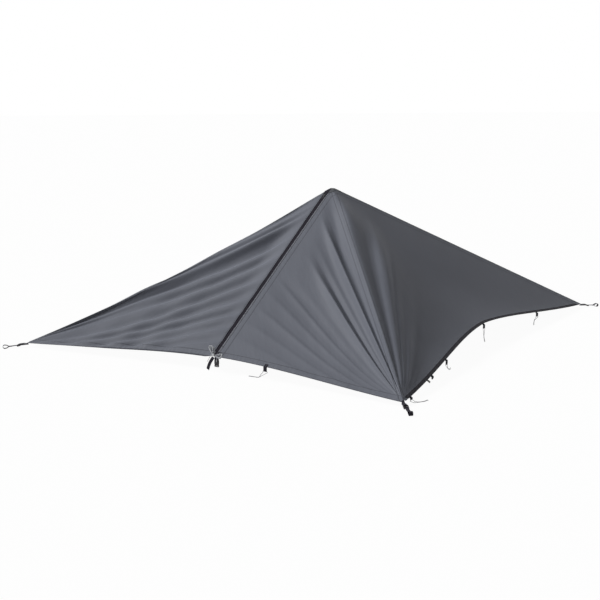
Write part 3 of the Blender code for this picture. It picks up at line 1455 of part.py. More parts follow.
def make_tab_cord(name, eye, knot, middle, end, lying=False):
    """A doubled cord through a tab's eye; points are (along, out, down) from the eye."""
    radius = CORD_DIAMETER / 2
    seat = TAB_EYE_RADIUS - radius - RUNNING_GAP
    turn = WEBBING_WIDTH / 2 + 2 * CORD_DIAMETER
    outward = 1 if (eye.to_3x3() @ Vector((0, 1, 0))).dot(eye.translation) > 0 else -1
    ground = eye.translation.z - radius - TOUCH_GAP
    path = [Vector((0, 0, seat)), Vector(knot), Vector(middle), Vector(end)]
    splits = []
    for before, after in zip(path, path[1:]):
        run = after - before
        if lying and splits:
            split = Vector((-run.y, run.x, 0))
        elif lying:
            run = path[2] - path[1]
            split = Vector((-run.y, run.x, 0))
        else:
            split = Vector((-run.z, 0, run.x))
        split = split.normalized() * (radius + STRAND_SPREAD)
        if split.x > 0 if not splits else split.dot(splits[-1]) < 0:
            split = -split
        splits.append(split)
    sides = []
    for side in (-1, 1):
        strand = [
            Vector((side * WEBBING_WIDTH * 0.42, 0, seat)),
            Vector((side * (WEBBING_WIDTH / 2 + CORD_DIAMETER * 0.6), 0, seat + 0.0002)),
            Vector((side * turn, 0, seat + CORD_DIAMETER)),
            Vector((side * turn * 0.98, 0.0005, seat + CORD_DIAMETER * 3.2)),
        ]
        near = path[1] - splits[0] * side
        strand.append(strand[-1].lerp(near, 0.55))
        strand += [near, path[2] - splits[1] * side, path[3] - splits[2] * side * 1.6]
        sides.append(strand)
    route = list(reversed(sides[0])) + [Vector((0, 0, seat))] + sides[1]
    points = []
    for point in smooth_route(route, 3):
        down = min(point.z, ground)
        points.append(eye @ Vector((point.x, point.y * outward, -down)))
    gap = least_gap(points, CORD_DIAMETER)
    length = sum((after - before).length for before, after in zip(points, points[1:]))
    print(f"{name}: {length:.3f} m long, least gap to itself {gap * 1000:.2f} mm")
    return cord(name, points, CORD_DIAMETER, "cord_grey", resolution=1)


def make_label(panel, rise):
    """A small blank fold of tape, sewn under the bound edge."""
    origin, along, into, normal = panel.edge_frame(rise)
    thin = BINDING_THICKNESS / 2
    under = -BINDING_GAP - BINDING_THICKNESS - CLOTH_GAP - thin
    low = under - BINDING_THICKNESS - TOUCH_GAP
    start = origin + into * LABEL_SEWN + normal * under
    lip = origin - into * LABEL_DROP * 0.5 + normal * under
    back = normal * (low - under)
    route = [
        start, lip, lip - into * 0.006 + DOWN * 0.002, lip - into * 0.0064 + DOWN * 0.0032,
        lip - into * 0.006 + back + DOWN * 0.0035, lip + back * 1.4 + DOWN * 0.001, start + back,
    ]
    stations = flat_stations(route, along, LABEL_WIDTH)
    return ribbon("edge_label", stations, BINDING_THICKNESS, "label_blank")


# Assembly

def build_zip():
    tape_end = ZIP_LENGTH - 0.006
    slider_end = SLIDER_FROM_TOP + SLIDER_LENGTH / 2 + RUNNING_GAP
    make_zip_tape("zip_tape_left", -1, COIL_START, tape_end)
    door_tape = make_zip_tape("zip_tape_door", 1, slider_end, tape_end)
    make_top_stop()
    slider = make_slider()
    pull = make_pull()
    run = axis_empty("slider_run_axis", slider_frame().translation, ZIP_DOWN, FRONT_LEFT_NORMAL)
    hinge = axis_empty("pull_swing_axis", pull.matrix_world.translation, -ZIP_ACROSS, FRONT_LEFT_NORMAL)
    carry(run, [slider])
    carry(hinge, [pull])
    return door_tape


def build_corners():
    for corner in CORNERS:
        make_corner_webbing(corner)
        make_corner_buckle(corner)
        strap = make_peg_strap(corner)
        frame = corner_frame(corner)
        axis = frame.to_3x3() @ Vector((1, 0, 0))
        empty = axis_empty(f"{corner}_strap_axis", frame.translation, axis, UP)
        carry(empty, [strap])


def build_pole():
    make_pole_upper()
    tube, foot, collar, pin, lever, pivot = make_pole_lower()
    slide = axis_empty("pole_slide_axis", Vector(), UP, Vector((1, 0, 0)))
    swing = axis_empty("lever_swing_axis", pivot, Vector((1, 0, 0)), UP)
    carry(slide, [tube, foot, collar, pin])
    carry(swing, [lever])


def build_foot():
    """Everything at the foot of the zip; it hangs on the door."""
    pieces = [make_foot_webbing(), make_buckle_socket(), make_strap_tail()]
    pieces += [make_hank(), make_hank_wrap()]
    plug = make_buckle_plug()
    release = axis_empty("buckle_release_axis", foot_frame().translation, DOWN, UP.cross(ZIP_ACROSS))
    carry(release, [plug])
    return pieces


def build_edges(panels):
    """Bindings, tabs, tie cords and the label; returns those on the door."""
    right, back_right = panels["right"], panels["back_right"]
    make_binding("right_binding", right)
    make_binding("back_right_binding", back_right)
    hem_tab, eye = make_tab("hem_tab", panels["door"], HEM_TAB_RISE, outside=True)
    hem_cord = make_tab_cord("hem_cord", eye, *HEM_CORD_ROUTE, lying=True)
    for number, (rise, route) in enumerate(zip(EDGE_TAB_RISES, EDGE_CORD_ROUTES), 1):
        _, eye = make_tab(f"edge_tab_{number}", right, rise, bound=True)
        make_tab_cord(f"edge_cord_{number}", eye, *route)
        make_tab(f"back_edge_tab_{number}", back_right, rise, bound=True)
    _, eye = make_tab("front_tab", right, FRONT_TAB_RISE, bound=True, drop=FRONT_TAB_DROP)
    make_tab_cord("front_cord", eye, *FRONT_CORD_ROUTE, lying=True)
    make_tab("tie_tab", right, TIE_TAB_RISE, bound=True, drop=TIE_TAB_DROP, gap=2 * CLOTH_GAP)
    make_tab("back_hem_tab", panels["back_left"], BACK_HEM_TAB_RISE, outside=True)
    make_label(right, LABEL_RISE)
    return [hem_tab, hem_cord]


def build():
    panels = make_panels()
    make_peak()
    door_pieces = [bpy.data.objects["door_panel"], build_zip()]
    door_pieces += build_foot()
    door_pieces += build_edges(panels)
    build_corners()
    build_pole()
    pivot = CORNERS["front"] + DOOR_AXIS_LIFT
    hinge = axis_empty("door_swing_axis", pivot, FRONT_RIDGE_DOWN, FRONT_LEFT_NORMAL)
    carry(hinge, door_pieces)


RIGHT_NORMAL = face_normal("front", "right")
DOOR_AXIS_LIFT = (FRONT_LEFT_NORMAL + RIGHT_NORMAL).normalized() * (CLOTH_THICKNESS + TOUCH_GAP)

clear_scene()
PARTS = new_collection(OBJECT_NAME)
TOOLS = new_collection("cutters", hidden=True)
MATERIALS = {name: make_material(name) for name in COLOURS}
build()
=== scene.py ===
# %% [markdown]
# # A low camping tarp on one pole
# The object is four faces of coated cloth, held up by one pole under their
# peak and pulled out by straps at four corners. A zip opens the front left
# face, so that half of it swings aside as a door. The measured solids are
# loaded first. They fix every size, and each soft piece that is made here
# lies where its own solid lies.

# %% Load the measured solids
import json
import math

import bmesh
import bpy
import numpy as np
from mathutils import Matrix, Vector

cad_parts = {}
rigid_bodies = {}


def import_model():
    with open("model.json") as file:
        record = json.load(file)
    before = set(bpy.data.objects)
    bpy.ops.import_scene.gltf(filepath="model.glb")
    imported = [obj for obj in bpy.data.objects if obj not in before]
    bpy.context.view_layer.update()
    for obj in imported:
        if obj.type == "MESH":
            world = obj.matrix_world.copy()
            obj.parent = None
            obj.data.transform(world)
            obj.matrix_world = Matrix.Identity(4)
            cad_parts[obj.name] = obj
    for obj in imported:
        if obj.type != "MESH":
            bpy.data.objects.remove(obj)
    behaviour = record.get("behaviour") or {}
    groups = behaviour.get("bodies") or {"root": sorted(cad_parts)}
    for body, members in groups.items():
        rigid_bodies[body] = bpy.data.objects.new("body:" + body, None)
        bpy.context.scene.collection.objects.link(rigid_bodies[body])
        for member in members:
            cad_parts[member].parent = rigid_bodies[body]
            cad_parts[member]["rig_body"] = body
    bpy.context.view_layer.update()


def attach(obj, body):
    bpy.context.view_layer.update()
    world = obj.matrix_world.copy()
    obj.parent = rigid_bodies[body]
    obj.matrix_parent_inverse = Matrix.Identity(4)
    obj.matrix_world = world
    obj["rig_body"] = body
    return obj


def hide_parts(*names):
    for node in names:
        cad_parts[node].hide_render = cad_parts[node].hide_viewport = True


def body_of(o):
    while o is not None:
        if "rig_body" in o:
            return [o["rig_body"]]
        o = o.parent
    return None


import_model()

# %% [markdown]
# ## The camera
# The camera stands low in front of the tarp and a little to its left, as a
# visitor would. Its place and turn were worked out from the four corners of
# the cloth and its peak. A 60 mm lens on a 36 mm sensor keeps the near
# corner from looking too large.

# %% Camera
def new_object(name, data):
    item = bpy.data.objects.new(name, data)
    bpy.context.scene.collection.objects.link(item)
    return item


def place_camera(place, turn_right, turn_down, lens):
    """A level camera, turned from +Y towards +X and tilted down, in degrees."""
    data = bpy.data.cameras.new("camera")
    data.lens = lens
    data.sensor_width = 36.0
    camera = new_object("camera", data)
    camera.location = place
    camera.rotation_euler = (math.radians(90 - turn_down), 0.0, math.radians(-turn_right))
    bpy.context.scene.camera = camera


CAMERA_PLACE = (-2.1935, -6.4083, 1.6031)
place_camera(CAMERA_PLACE, turn_right=17.03, turn_down=11.88, lens=60.0)
print("camera at", [round(v, 2) for v in CAMERA_PLACE])

# %% [markdown]
# ## The pitched surface
# Every seam starts from a few points: four corners, the peak, and the place
# where the zip meets the lower edge. Between them the ridges run nearly
# straight and the lower edges rise in shallow arcs, because cloth under
# tension pulls its free edge up. All pieces below ask these functions for
# their place, so that they meet.

# %% Corners, ridges and edges
PEAK = np.array((0.0, 0.0, 0.955))
CORNER_HEIGHT = 0.02647
CORNERS = {
    "left": np.array((-2.05, 0.0, CORNER_HEIGHT)),
    "right": np.array((1.978, 0.0, CORNER_HEIGHT)),
    "front": np.array((-0.24, -1.853, CORNER_HEIGHT)),
    "back": np.array((-0.24, 1.853, CORNER_HEIGHT)),
}
# Each corner's ridge lies between the faces towards these two others
NEIGHBOURS = {
    "left": ("front", "back"), "right": ("front", "back"),
    "front": ("left", "right"), "back": ("left", "right"),
}
LEFT_RIDGE_SAG = 0.050
FACE_SAG = 0.022
PLAIN_EDGE_DEPTH = 0.117
BOUND_EDGE_DEPTH = 0.203
CLOTH = 0.0012
HEM_ROLL_WIDTH = 0.012
SEAM_INSET = 0.0004


def unit(vector):
    return vector / np.linalg.norm(vector)


def lengths(vectors):
    return np.linalg.norm(vectors, axis=1)


def ridge_points(corner, rises):
    """Points on a ridge, from 0 at the corner to 1 at the peak."""
    rises = np.atleast_1d(rises)[:, None]
    points = CORNERS[corner] * (1 - rises) + PEAK * rises
    if corner == "left":
        sag = 4 * LEFT_RIDGE_SAG * rises * (1 - rises) * (1 - rises ** 12)
        points = points - sag * np.array((0.0, 0.0, 1.0))
    return points


def edge_points(start, end, shares, depth, peaked=0.0):
    """Points on a lower edge between two corners, an arc or more of a peak."""
    shares = np.atleast_1d(shares)
    base = CORNERS[start] * (1 - shares[:, None]) + CORNERS[end] * shares[:, None]
    arc = np.clip(np.sin(np.pi * shares), 0, 1) ** 1.13
    bow = (1 - peaked) * arc + peaked * (1 - np.abs(2 * shares - 1))
    upward = PEAK - base
    upward /= lengths(upward)[:, None]
    return base + upward * (depth * bow)[:, None]


def face_normal(start, end):
    normal = unit(np.cross(CORNERS[end] - CORNERS[start], PEAK - CORNERS[start]))
    return normal if normal[2] > 0 else -normal


def ridge_length(corner):
    return np.linalg.norm(CORNERS[corner] - PEAK)


def ridge_at(corner, distance):
    """The point on a ridge at a distance from the peak."""
    return ridge_points(corner, 1 - distance / ridge_length(corner))[0]


ZIP_FROM_LEFT = 1.349
ZIP_SHARE = ZIP_FROM_LEFT / np.linalg.norm(CORNERS["front"] - CORNERS["left"])
ZIP_BESIDE_PEAK = 0.021
ZIP_STRIPE = 0.027
ZIP_FOOT = edge_points("left", "front", ZIP_SHARE, PLAIN_EDGE_DEPTH)[0]
FACE_NORMAL = face_normal("left", "front")
FRONT_RIDGE_DOWN = unit(CORNERS["front"] - PEAK)


def square_to(line):
    """In the zip's face, square to a line and towards the front corner."""
    across = unit(np.cross(FACE_NORMAL, line))
    return across * np.sign(across @ (CORNERS["front"] - CORNERS["left"]))


ZIP_TOP = PEAK - square_to(ZIP_FOOT - PEAK) * ZIP_BESIDE_PEAK
ZIP_LENGTH = np.linalg.norm(ZIP_FOOT - ZIP_TOP)
ZIP_DOWN = unit(ZIP_FOOT - ZIP_TOP)
ZIP_ACROSS = square_to(ZIP_DOWN)


def zip_point(distance, across=0.0, lift=0.0):
    """A point by the zip: down from its top, sideways, and outwards."""
    return ZIP_TOP + ZIP_DOWN * distance + ZIP_ACROSS * across + FACE_NORMAL * lift


def zip_trim(front_trim):
    """Where a line square to the front ridge meets the door's side of the zip."""
    beside = (zip_point(0.0, ZIP_STRIPE / 2) - PEAK) @ FRONT_RIDGE_DOWN
    return (front_trim - beside) / (ZIP_DOWN @ FRONT_RIDGE_DOWN)


def hem_share_at_zip(side):
    """Where the hem meets one side of the zip's stripe, by a small step along it."""
    step = 0.001
    moved = edge_points("left", "front", ZIP_SHARE + step, PLAIN_EDGE_DEPTH)[0] - ZIP_FOOT
    return ZIP_SHARE + side * ZIP_STRIPE / 2 * step / (moved @ ZIP_ACROSS)


print("zip length", round(float(ZIP_LENGTH), 3), "m; foot at", ZIP_FOOT.round(3).tolist())

# %% [markdown]
# ## Folds in a pulled cloth
# Cloth that hangs from two points folds along the lines between them, so
# the folds of each face fan out from one corner. They could be drawn as
# bumps on a flat sheet, but light shows slopes and not heights. Here each
# fan has a short list of slopes at places across it. Adding the slopes up
# gives the height of the cloth, which makes a crease as sharp as its slope
# says. Near the corner a fold has less cloth beside it, so its height grows
# with the width of the fan.

# %% Slopes across a fan
def height_from_slopes(stops):
    """Height across a fan, from smooth slopes between a few places."""
    at = np.array([place for place, _ in stops])
    slopes = np.array([slope for _, slope in stops])
    places = np.linspace(0, 1, 801)
    index = np.clip(np.searchsorted(at, places, side="right") - 1, 0, len(at) - 2)
    blend = (places - at[index]) / (at[index + 1] - at[index])
    blend = (1 - np.cos(np.pi * blend)) / 2
    slope = slopes[index] * (1 - blend) + slopes[index + 1] * blend
    steps = (slope[1:] + slope[:-1]) / 2 * (places[1] - places[0])
    height = np.concatenate(([0.0], np.cumsum(steps)))
    return lambda place: np.interp(place, places, height)


def smooth_step(low, high, value):
    value = np.clip((value - low) / (high - low), 0, 1)
    return value * value * (3 - 2 * value)


def smooth_fall(low, high, value):
    return 1 - smooth_step(low, high, value)


LEFT_SLOPES = (
    (0.0, -0.45), (0.050, 0.05), (0.085, 0.30), (0.122, -0.40), (0.152, 0.42), (0.205, -0.62),
    (0.250, -0.38), (0.303, 0.50), (0.372, -0.38), (0.440, 0.48), (0.503, -0.46), (0.577, 0.50),
    (0.635, -0.56), (0.688, 0.52), (0.740, -0.54), (0.778, 0.50), (0.819, -0.52), (0.853, 0.44),
    (0.892, -0.44), (0.930, 0.30), (0.960, -0.25), (1.0, 0.05),
)
DOOR_SLOPES = (
    (0.0, -0.35), (0.045, -0.55), (0.078, -0.12), (0.103, 0.70), (0.124, 1.35), (0.147, -0.60),
    (0.172, -0.50), (0.205, -0.16), (0.235, 0.16), (0.262, -0.40), (0.282, -0.25), (0.300, 1.15),
    (0.320, 1.60), (0.343, -0.60), (0.368, -0.46), (0.405, -0.24), (0.445, 0.02), (0.480, -0.12),
    (0.520, 0.04), (0.536, 0.26), (0.554, -0.14), (0.604, 0.02), (0.622, 0.22), (0.642, -0.14),
    (0.690, 0.0), (0.712, 0.26), (0.730, -0.16), (0.778, 0.0), (0.800, 0.20), (0.820, -0.12),
    (0.866, 0.0), (0.884, 0.16), (0.904, -0.08), (1.0, 0.0),
)
RIGHT_SLOPES = (
    (0.0, 1.00), (0.025, 0.55), (0.055, 0.18), (0.088, -0.02), (0.112, 0.42), (0.137, 0.85),
    (0.163, 0.32), (0.190, -0.06), (0.218, -0.02), (0.242, 0.68), (0.268, 0.32), (0.300, -0.10),
    (0.350, 0.12), (0.395, -0.04), (0.470, 0.05), (0.560, -0.04), (0.700, 0.02), (1.0, -0.03),
)


class ClothFace:
    """One face as a fan: share runs from the ridge to the lower edge, rise
    from the tip of the fan to its far seam."""

    def __init__(
            self, name, tip, normal, trim, far_points, far_ridge, edge, top_share, folds, roll=0.0):
        self.name = name
        self.tip = tip
        self.normal = normal
        self.top = 1 - trim / ridge_length(tip)
        self.far_points = far_points
        self.edge = edge
        self.top_share = top_share
        self.roll = roll
        self.folds = folds
        self.height = height_from_slopes(folds["slopes"])
        self.inset = self.inward(tip, far_points[-1]) * SEAM_INSET
        self.far_inset = np.zeros(3)
        if far_ridge:
            self.far_inset = self.inward(far_ridge, CORNERS[tip]) * SEAM_INSET

    @staticmethod
    def inward(corner, inside):
        along = unit(PEAK - CORNERS[corner])
        toward = inside - CORNERS[corner]
        return unit(toward - along * (toward @ along))

    def far(self, shares):
        """The far side: a short top edge first, then down the seam."""
        first, start, end = self.far_points
        low = np.clip(shares / self.top_share, 0, 1)[:, None]
        high = np.clip((shares - self.top_share) / (1 - self.top_share), 0, 1)[:, None]
        top = (first + self.inset) * (1 - low) + (start + self.far_inset) * low
        down = start * (1 - high) + end * high + self.far_inset
        return np.where((shares <= self.top_share)[:, None], top, down)

    def fold_height(self, shares, rises, width):
        """Outward height of the folds, in metres."""
        start, rate = self.folds["drift"]
        fade_from, fade_to = self.folds["fade"]
        spread = (1 - rises) ** 2
        scale = 1 + rate * spread
        pull = self.folds["pull"] * smooth_fall(0.1, 0.8, rises)

        def fold_place(share):
            share = share + pull * np.sin(np.pi * np.clip(share / 0.62, 0, 1))
            return np.clip((share + rate * start * spread) / scale, 0, 1)

        ends = self.height(fold_place(0)), self.height(fold_place(1))
        height = self.height(fold_place(shares)) - ends[0] * (1 - shares) - ends[1] * shares
        # Folds lose their depth towards the far seam, some of them early, and
        # near the hem, and each one swells and dies away in its own places
        steady = self.folds["steady"]
        sooner = self.folds["early"] * shares * smooth_fall(steady, steady + 0.16, shares)
        strength = smooth_step(0.015, 0.10, rises)
        strength = strength * smooth_fall(fade_from - sooner, fade_to - 0.4 * sooner, rises)
        strength = strength * smooth_step(0.0, 0.05, 1 - shares) * (1 - 2.4 * pull)
        swell = np.sin(5 * rises + 19 * shares) * np.sin(3 * rises - 13 * shares + 1)
        return height * scale * width * strength * (1 + 0.30 * swell)

    def points(self, shares, rises, rolled=True):
        shares, rises = np.broadcast_arrays(np.atleast_1d(shares).astype(float), rises)
        rises = rises.astype(float)
        ridge = ridge_points(self.tip, rises * self.top) + self.inset
        edge = self.edge(rises)
        down = shares[:, None]
        ends = self.far(np.zeros(1)) * (1 - down) + self.edge(np.ones(1)) * down
        flat = ridge * (1 - down) + edge * down
        flat = flat + (self.far(shares) - ends) * rises[:, None]
        width = lengths(ridge - edge)
        sag = FACE_SAG * np.sin(np.pi * shares)
        sag = sag * smooth_step(0, 0.3, rises) * smooth_fall(0.6, 1, rises)
        lift = self.fold_height(shares, rises, width) - sag
        if rolled and self.roll:
            curl = np.clip(1 - (1 - shares) * width / HEM_ROLL_WIDTH, 0, 1) ** 2
            curl = curl * smooth_step(0.15, 0.5, rises) * smooth_fall(0.96, 1, rises)
            lift -= self.roll * curl
        return flat + self.normal * lift[:, None]

    def edge_frame(self, rise):
        """Origin on the lower edge; directions along, into and out of the cloth."""
        step = 0.004
        rises = np.array((rise, rise + step, rise - step))
        origin, ahead, behind = self.points(1.0, rises, rolled=False)
        along = unit(ahead - behind)
        into = self.points(1 - step, rises[:1], rolled=False)[0] - origin
        into = unit(into - along * (into @ along))
        normal = np.cross(into, along)
        if normal @ self.normal < 0:
            normal = -normal
        return origin, along, into, normal


# %% The five faces
CAP_FRONT_RIM = 0.052
DOOR_TRIM = CAP_FRONT_RIM + 0.0008
PEAK_TRIM = 0.030
# By the left ridge the cloth starts where the zip's left side crosses that ridge
LEFT_RIDGE_DOWN = unit(CORNERS["left"] - PEAK)
ZIP_ANGLE = math.acos(LEFT_RIDGE_DOWN @ ZIP_DOWN)
LEFT_TRIM = (ZIP_BESIDE_PEAK + ZIP_STRIPE / 2) / math.sin(ZIP_ANGLE) + 0.003
LEFT_ZIP_TRIM = (ZIP_BESIDE_PEAK + ZIP_STRIPE / 2) / math.tan(ZIP_ANGLE) + 0.030
# drift: the place that folds spread from near the tip, and how much; fade:
# the rises between which they die away, sooner by early times the share, up
# to the share steady (NEVER: all the way to the lower edge); pull: how far
# they lean towards the ridge near the tip
NEVER = 9.0
LEFT_FOLDS = {
    "slopes": LEFT_SLOPES, "drift": (0.40, 1.35), "fade": (0.84, 1.0),
    "early": -0.08, "steady": NEVER, "pull": 0.14}
DOOR_FOLDS = {
    "slopes": DOOR_SLOPES, "drift": (0.13, 0.42), "fade": (0.80, 1.02),
    "early": 1.0, "steady": 0.40, "pull": 0.0}
RIGHT_FOLDS = {
    "slopes": RIGHT_SLOPES, "drift": (0.10, 0.10), "fade": (0.86, 1.03),
    "early": 1.9, "steady": NEVER, "pull": 0.0}


def plain_edge(start, end, from_share, to_share):
    def edge(rises):
        shares = from_share + (to_share - from_share) * rises
        return edge_points(start, end, shares, PLAIN_EDGE_DEPTH)
    return edge


def bound_edge(start):
    def edge(rises):
        return edge_points(start, "right", rises, BOUND_EDGE_DEPTH, peaked=0.2)
    return edge


left_edge = plain_edge("left", "front", 0.0, hem_share_at_zip(-1))
door_edge = plain_edge("left", "front", 1.0, hem_share_at_zip(1))


def zip_face(name, tip, trim, zip_trim_here, side, edge, top_share, folds, roll=0.0):
    """A face between a ridge and one side of the zip."""
    far = (
        ridge_at(tip, trim), zip_point(zip_trim_here, side * ZIP_STRIPE / 2), edge(np.ones(1))[0])
    return ClothFace(name, tip, FACE_NORMAL, trim, far, None, edge, top_share, folds, roll)


def right_face(name, tip):
    """A face between the front or the back ridge and the right one."""
    far = ridge_at(tip, PEAK_TRIM), ridge_at("right", PEAK_TRIM), CORNERS["right"]
    return ClothFace(
        name, tip, face_normal(tip, "right"), PEAK_TRIM, far, "right", bound_edge(tip),
        top_share=0.0275, folds=RIGHT_FOLDS)


FACES = {
    "left": zip_face(
        "left_panel", "left", LEFT_TRIM, LEFT_ZIP_TRIM, -1, left_edge,
        top_share=0.030, folds=LEFT_FOLDS, roll=0.009),
    "door": zip_face(
        "door_panel", "front", DOOR_TRIM, zip_trim(DOOR_TRIM), 1, door_edge,
        top_share=0.035, folds=DOOR_FOLDS),
    "right": right_face("right_panel", "front"),
    "back_right": right_face("back_right_panel", "back"),
    "back_left": ClothFace(
        "back_left_panel", "left", face_normal("back", "left"), LEFT_TRIM,
        (ridge_at("left", LEFT_TRIM), ridge_at("back", PEAK_TRIM), CORNERS["back"]),
        "back", plain_edge("left", "back", 0.0, 1.0), top_share=0.030, folds=LEFT_FOLDS),
}
print("faces:", ", ".join(FACES))

# %% [markdown]
# ## Frames for what hangs at the corners and the zip's foot
# A strap, a buckle or a cord is easiest to lay out in its own directions:
# out along the strap, across it and up. A frame holds those directions and
# the place that they start from.

# %% Frames
WEBBING_WIDTH = 0.020
WEBBING = 0.0014
TOUCH_GAP = 0.0003
CLOTH_GAP = 0.0005
RUNNING_GAP = 0.0004
BAR_RADIUS = 0.0018
STRAP_SLOPE = math.radians(2.5)
BAR_HEIGHT = WEBBING * 1.5 + TOUCH_GAP + 2 * RUNNING_GAP + BAR_RADIUS
UPPER_RUN = BAR_HEIGHT + BAR_RADIUS + TOUCH_GAP + WEBBING / 2
TIP_HEIGHT = UPPER_RUN + WEBBING / 2 + CLOTH_GAP
LOOP_RADIUS = BAR_RADIUS + TOUCH_GAP + WEBBING / 2
UP = Vector((0.0, 0.0, 1.0))
DOWN = -UP


def frame_at(origin, x_axis, z_axis):
    """A right-handed frame from its X axis and a rough Z axis."""
    x = Vector(x_axis).normalized()
    y = Vector(z_axis).cross(x).normalized()
    matrix = Matrix((x, y, x.cross(y))).transposed().to_4x4()
    matrix.translation = origin
    return matrix


def corner_frame(corner):
    """X runs out along the peg strap; the strap's middle is at Z = 0."""
    plan = Vector((CORNERS[corner][0], CORNERS[corner][1], 0)).normalized()
    x_axis = plan * math.cos(STRAP_SLOPE) - UP * math.sin(STRAP_SLOPE)
    turned = frame_at(Vector(), x_axis, UP)
    start = Vector(CORNERS[corner]) - turned @ Vector((0, 0, TIP_HEIGHT))
    return Matrix.Translation(start) @ turned


FOOT_SHIFT = 0.028
FOOT_LIFT = CLOTH + CLOTH_GAP + WEBBING / 2


def foot_frame():
    """X hangs straight down from the zip's foot, Y runs along the hem."""
    y_axis = Vector((ZIP_ACROSS[0], ZIP_ACROSS[1], 0)).normalized()
    z_axis = DOWN.cross(y_axis)
    origin = Vector(zip_point(ZIP_LENGTH + 0.003, FOOT_SHIFT, FOOT_LIFT)) + z_axis * 0.001
    return frame_at(origin, DOWN, z_axis)


print("front strap starts at", [round(v, 4) for v in corner_frame("front").translation])

# %% [markdown]
# ## Pieces, and how they are finished
# A piece is a mesh whose points stand in the tarp's own frame, so that its
# object stays at the origin. It rides on the body that carries it, and the
# solid that it stands for is hidden. A modifier is applied once the shape is
# right.

# %% Adding a piece
def select_only(piece):
    bpy.ops.object.select_all(action="DESELECT")
    bpy.context.view_layer.objects.active = piece
    piece.select_set(True)


def add_piece(name, mesh, body, *nodes):
    piece = new_object(name, mesh)
    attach(piece, body)
    if nodes:
        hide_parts(*nodes)
    return piece


def apply_modifiers(piece):
    select_only(piece)
    for modifier in list(piece.modifiers):
        bpy.ops.object.modifier_apply(modifier=modifier.name)


def smooth(piece, degrees):
    select_only(piece)
    bpy.ops.object.shade_smooth_by_angle(angle=math.radians(degrees))


# %% [markdown]
# ## Cords
# The tie cords come before all else, because a cord has a fixed length and
# its route decides where it may lie. Each is a doubled cord: its middle
# sits in the eye of a webbing tab, both halves leave the tab at its sides,
# meet in a knot and hang or lie on the ground. A tube along a smooth line
# is the right shape, and rings square to the line keep it round.

# %% A round cord along a line
def smooth_route(route, steps):
    """Points on a smooth curve through a route's own points."""
    points = [Vector(point) for point in route]
    ends = [2 * points[0] - points[1]] + points + [2 * points[-1] - points[-2]]
    curve = []
    for i in range(1, len(ends) - 2):
        before, start, end, after = ends[i - 1:i + 3]
        for step in range(steps):
            t = step / steps
            curve.append(0.5 * (
                2 * start + (end - before) * t
                + (2 * before - 5 * start + 4 * end - after) * t ** 2
                + (3 * start - before - 3 * end + after) * t ** 3))
    curve.append(points[-1])
    return curve


def route_length(points):
    return sum((after - before).length for before, after in zip(points, points[1:]))


def tube_mesh(name, points, radius, sides=8, ends=0.35):
    """A tube with rounded ends; its UV runs round it and along it in metres."""
    points = [Vector(point) for point in points]
    first = points[0] + (points[0] - points[1]).normalized() * radius * ends
    last = points[-1] + (points[-1] - points[-2]).normalized() * radius * ends
    rings = [(first, 0.6)] + [(point, 1.0) for point in points] + [(last, 0.6)]
    work = bmesh.new()
    layer = work.loops.layers.uv.new("along")
    turn = None
    loops = []
    travelled = [0.0]
    for i, (point, scale) in enumerate(rings):
        ahead = rings[min(i + 1, len(rings) - 1)][0] - rings[max(i - 1, 0)][0]
        ahead.normalize()
        if turn is None:
            turn = ahead.orthogonal().normalized()
        turn = (turn - ahead * turn.dot(ahead)).normalized()
        side = ahead.cross(turn)
        ring = []
        for step in range(sides):
            angle = 2 * math.pi * step / sides
            offset = turn * math.cos(angle) + side * math.sin(angle)
            ring.append(work.verts.new(point + offset * radius * scale))
        if i:
            travelled.append(travelled[-1] + (point - rings[i - 1][0]).length)
        loops.append(ring)
    girth = 2 * math.pi * radius
    for i in range(len(loops) - 1):
        for step in range(sides):
            after = (step + 1) % sides
            face = work.faces.new(
                (loops[i][step], loops[i][after], loops[i + 1][after], loops[i + 1][step]))
            corners = ((step, i), (step + 1, i), (step + 1, i + 1), (step, i + 1))
            for loop, (around, row) in zip(face.loops, corners):
                loop[layer].uv = (girth * around / sides, travelled[row])
            face.smooth = True
    work.faces.new(loops[0][::-1])
    work.faces.new(loops[-1])
    mesh = bpy.data.meshes.new(name)
    work.to_mesh(mesh)
    work.free()
    return mesh


# %% [markdown]
# ### Tab eyes
# A tab is a short loop of webbing that is sewn to the edge and hangs down.
# Its rounded bottom is the eye that holds the cord. The route of the loop
# is worked out here, because the cord starts in its eye.

# %% Tab routes
CORD_DIAMETER = 0.0022
EYE_RADIUS = 0.0019
BINDING = 0.0008
BINDING_GAP = 0.0008
TAB_SEWN = 0.020


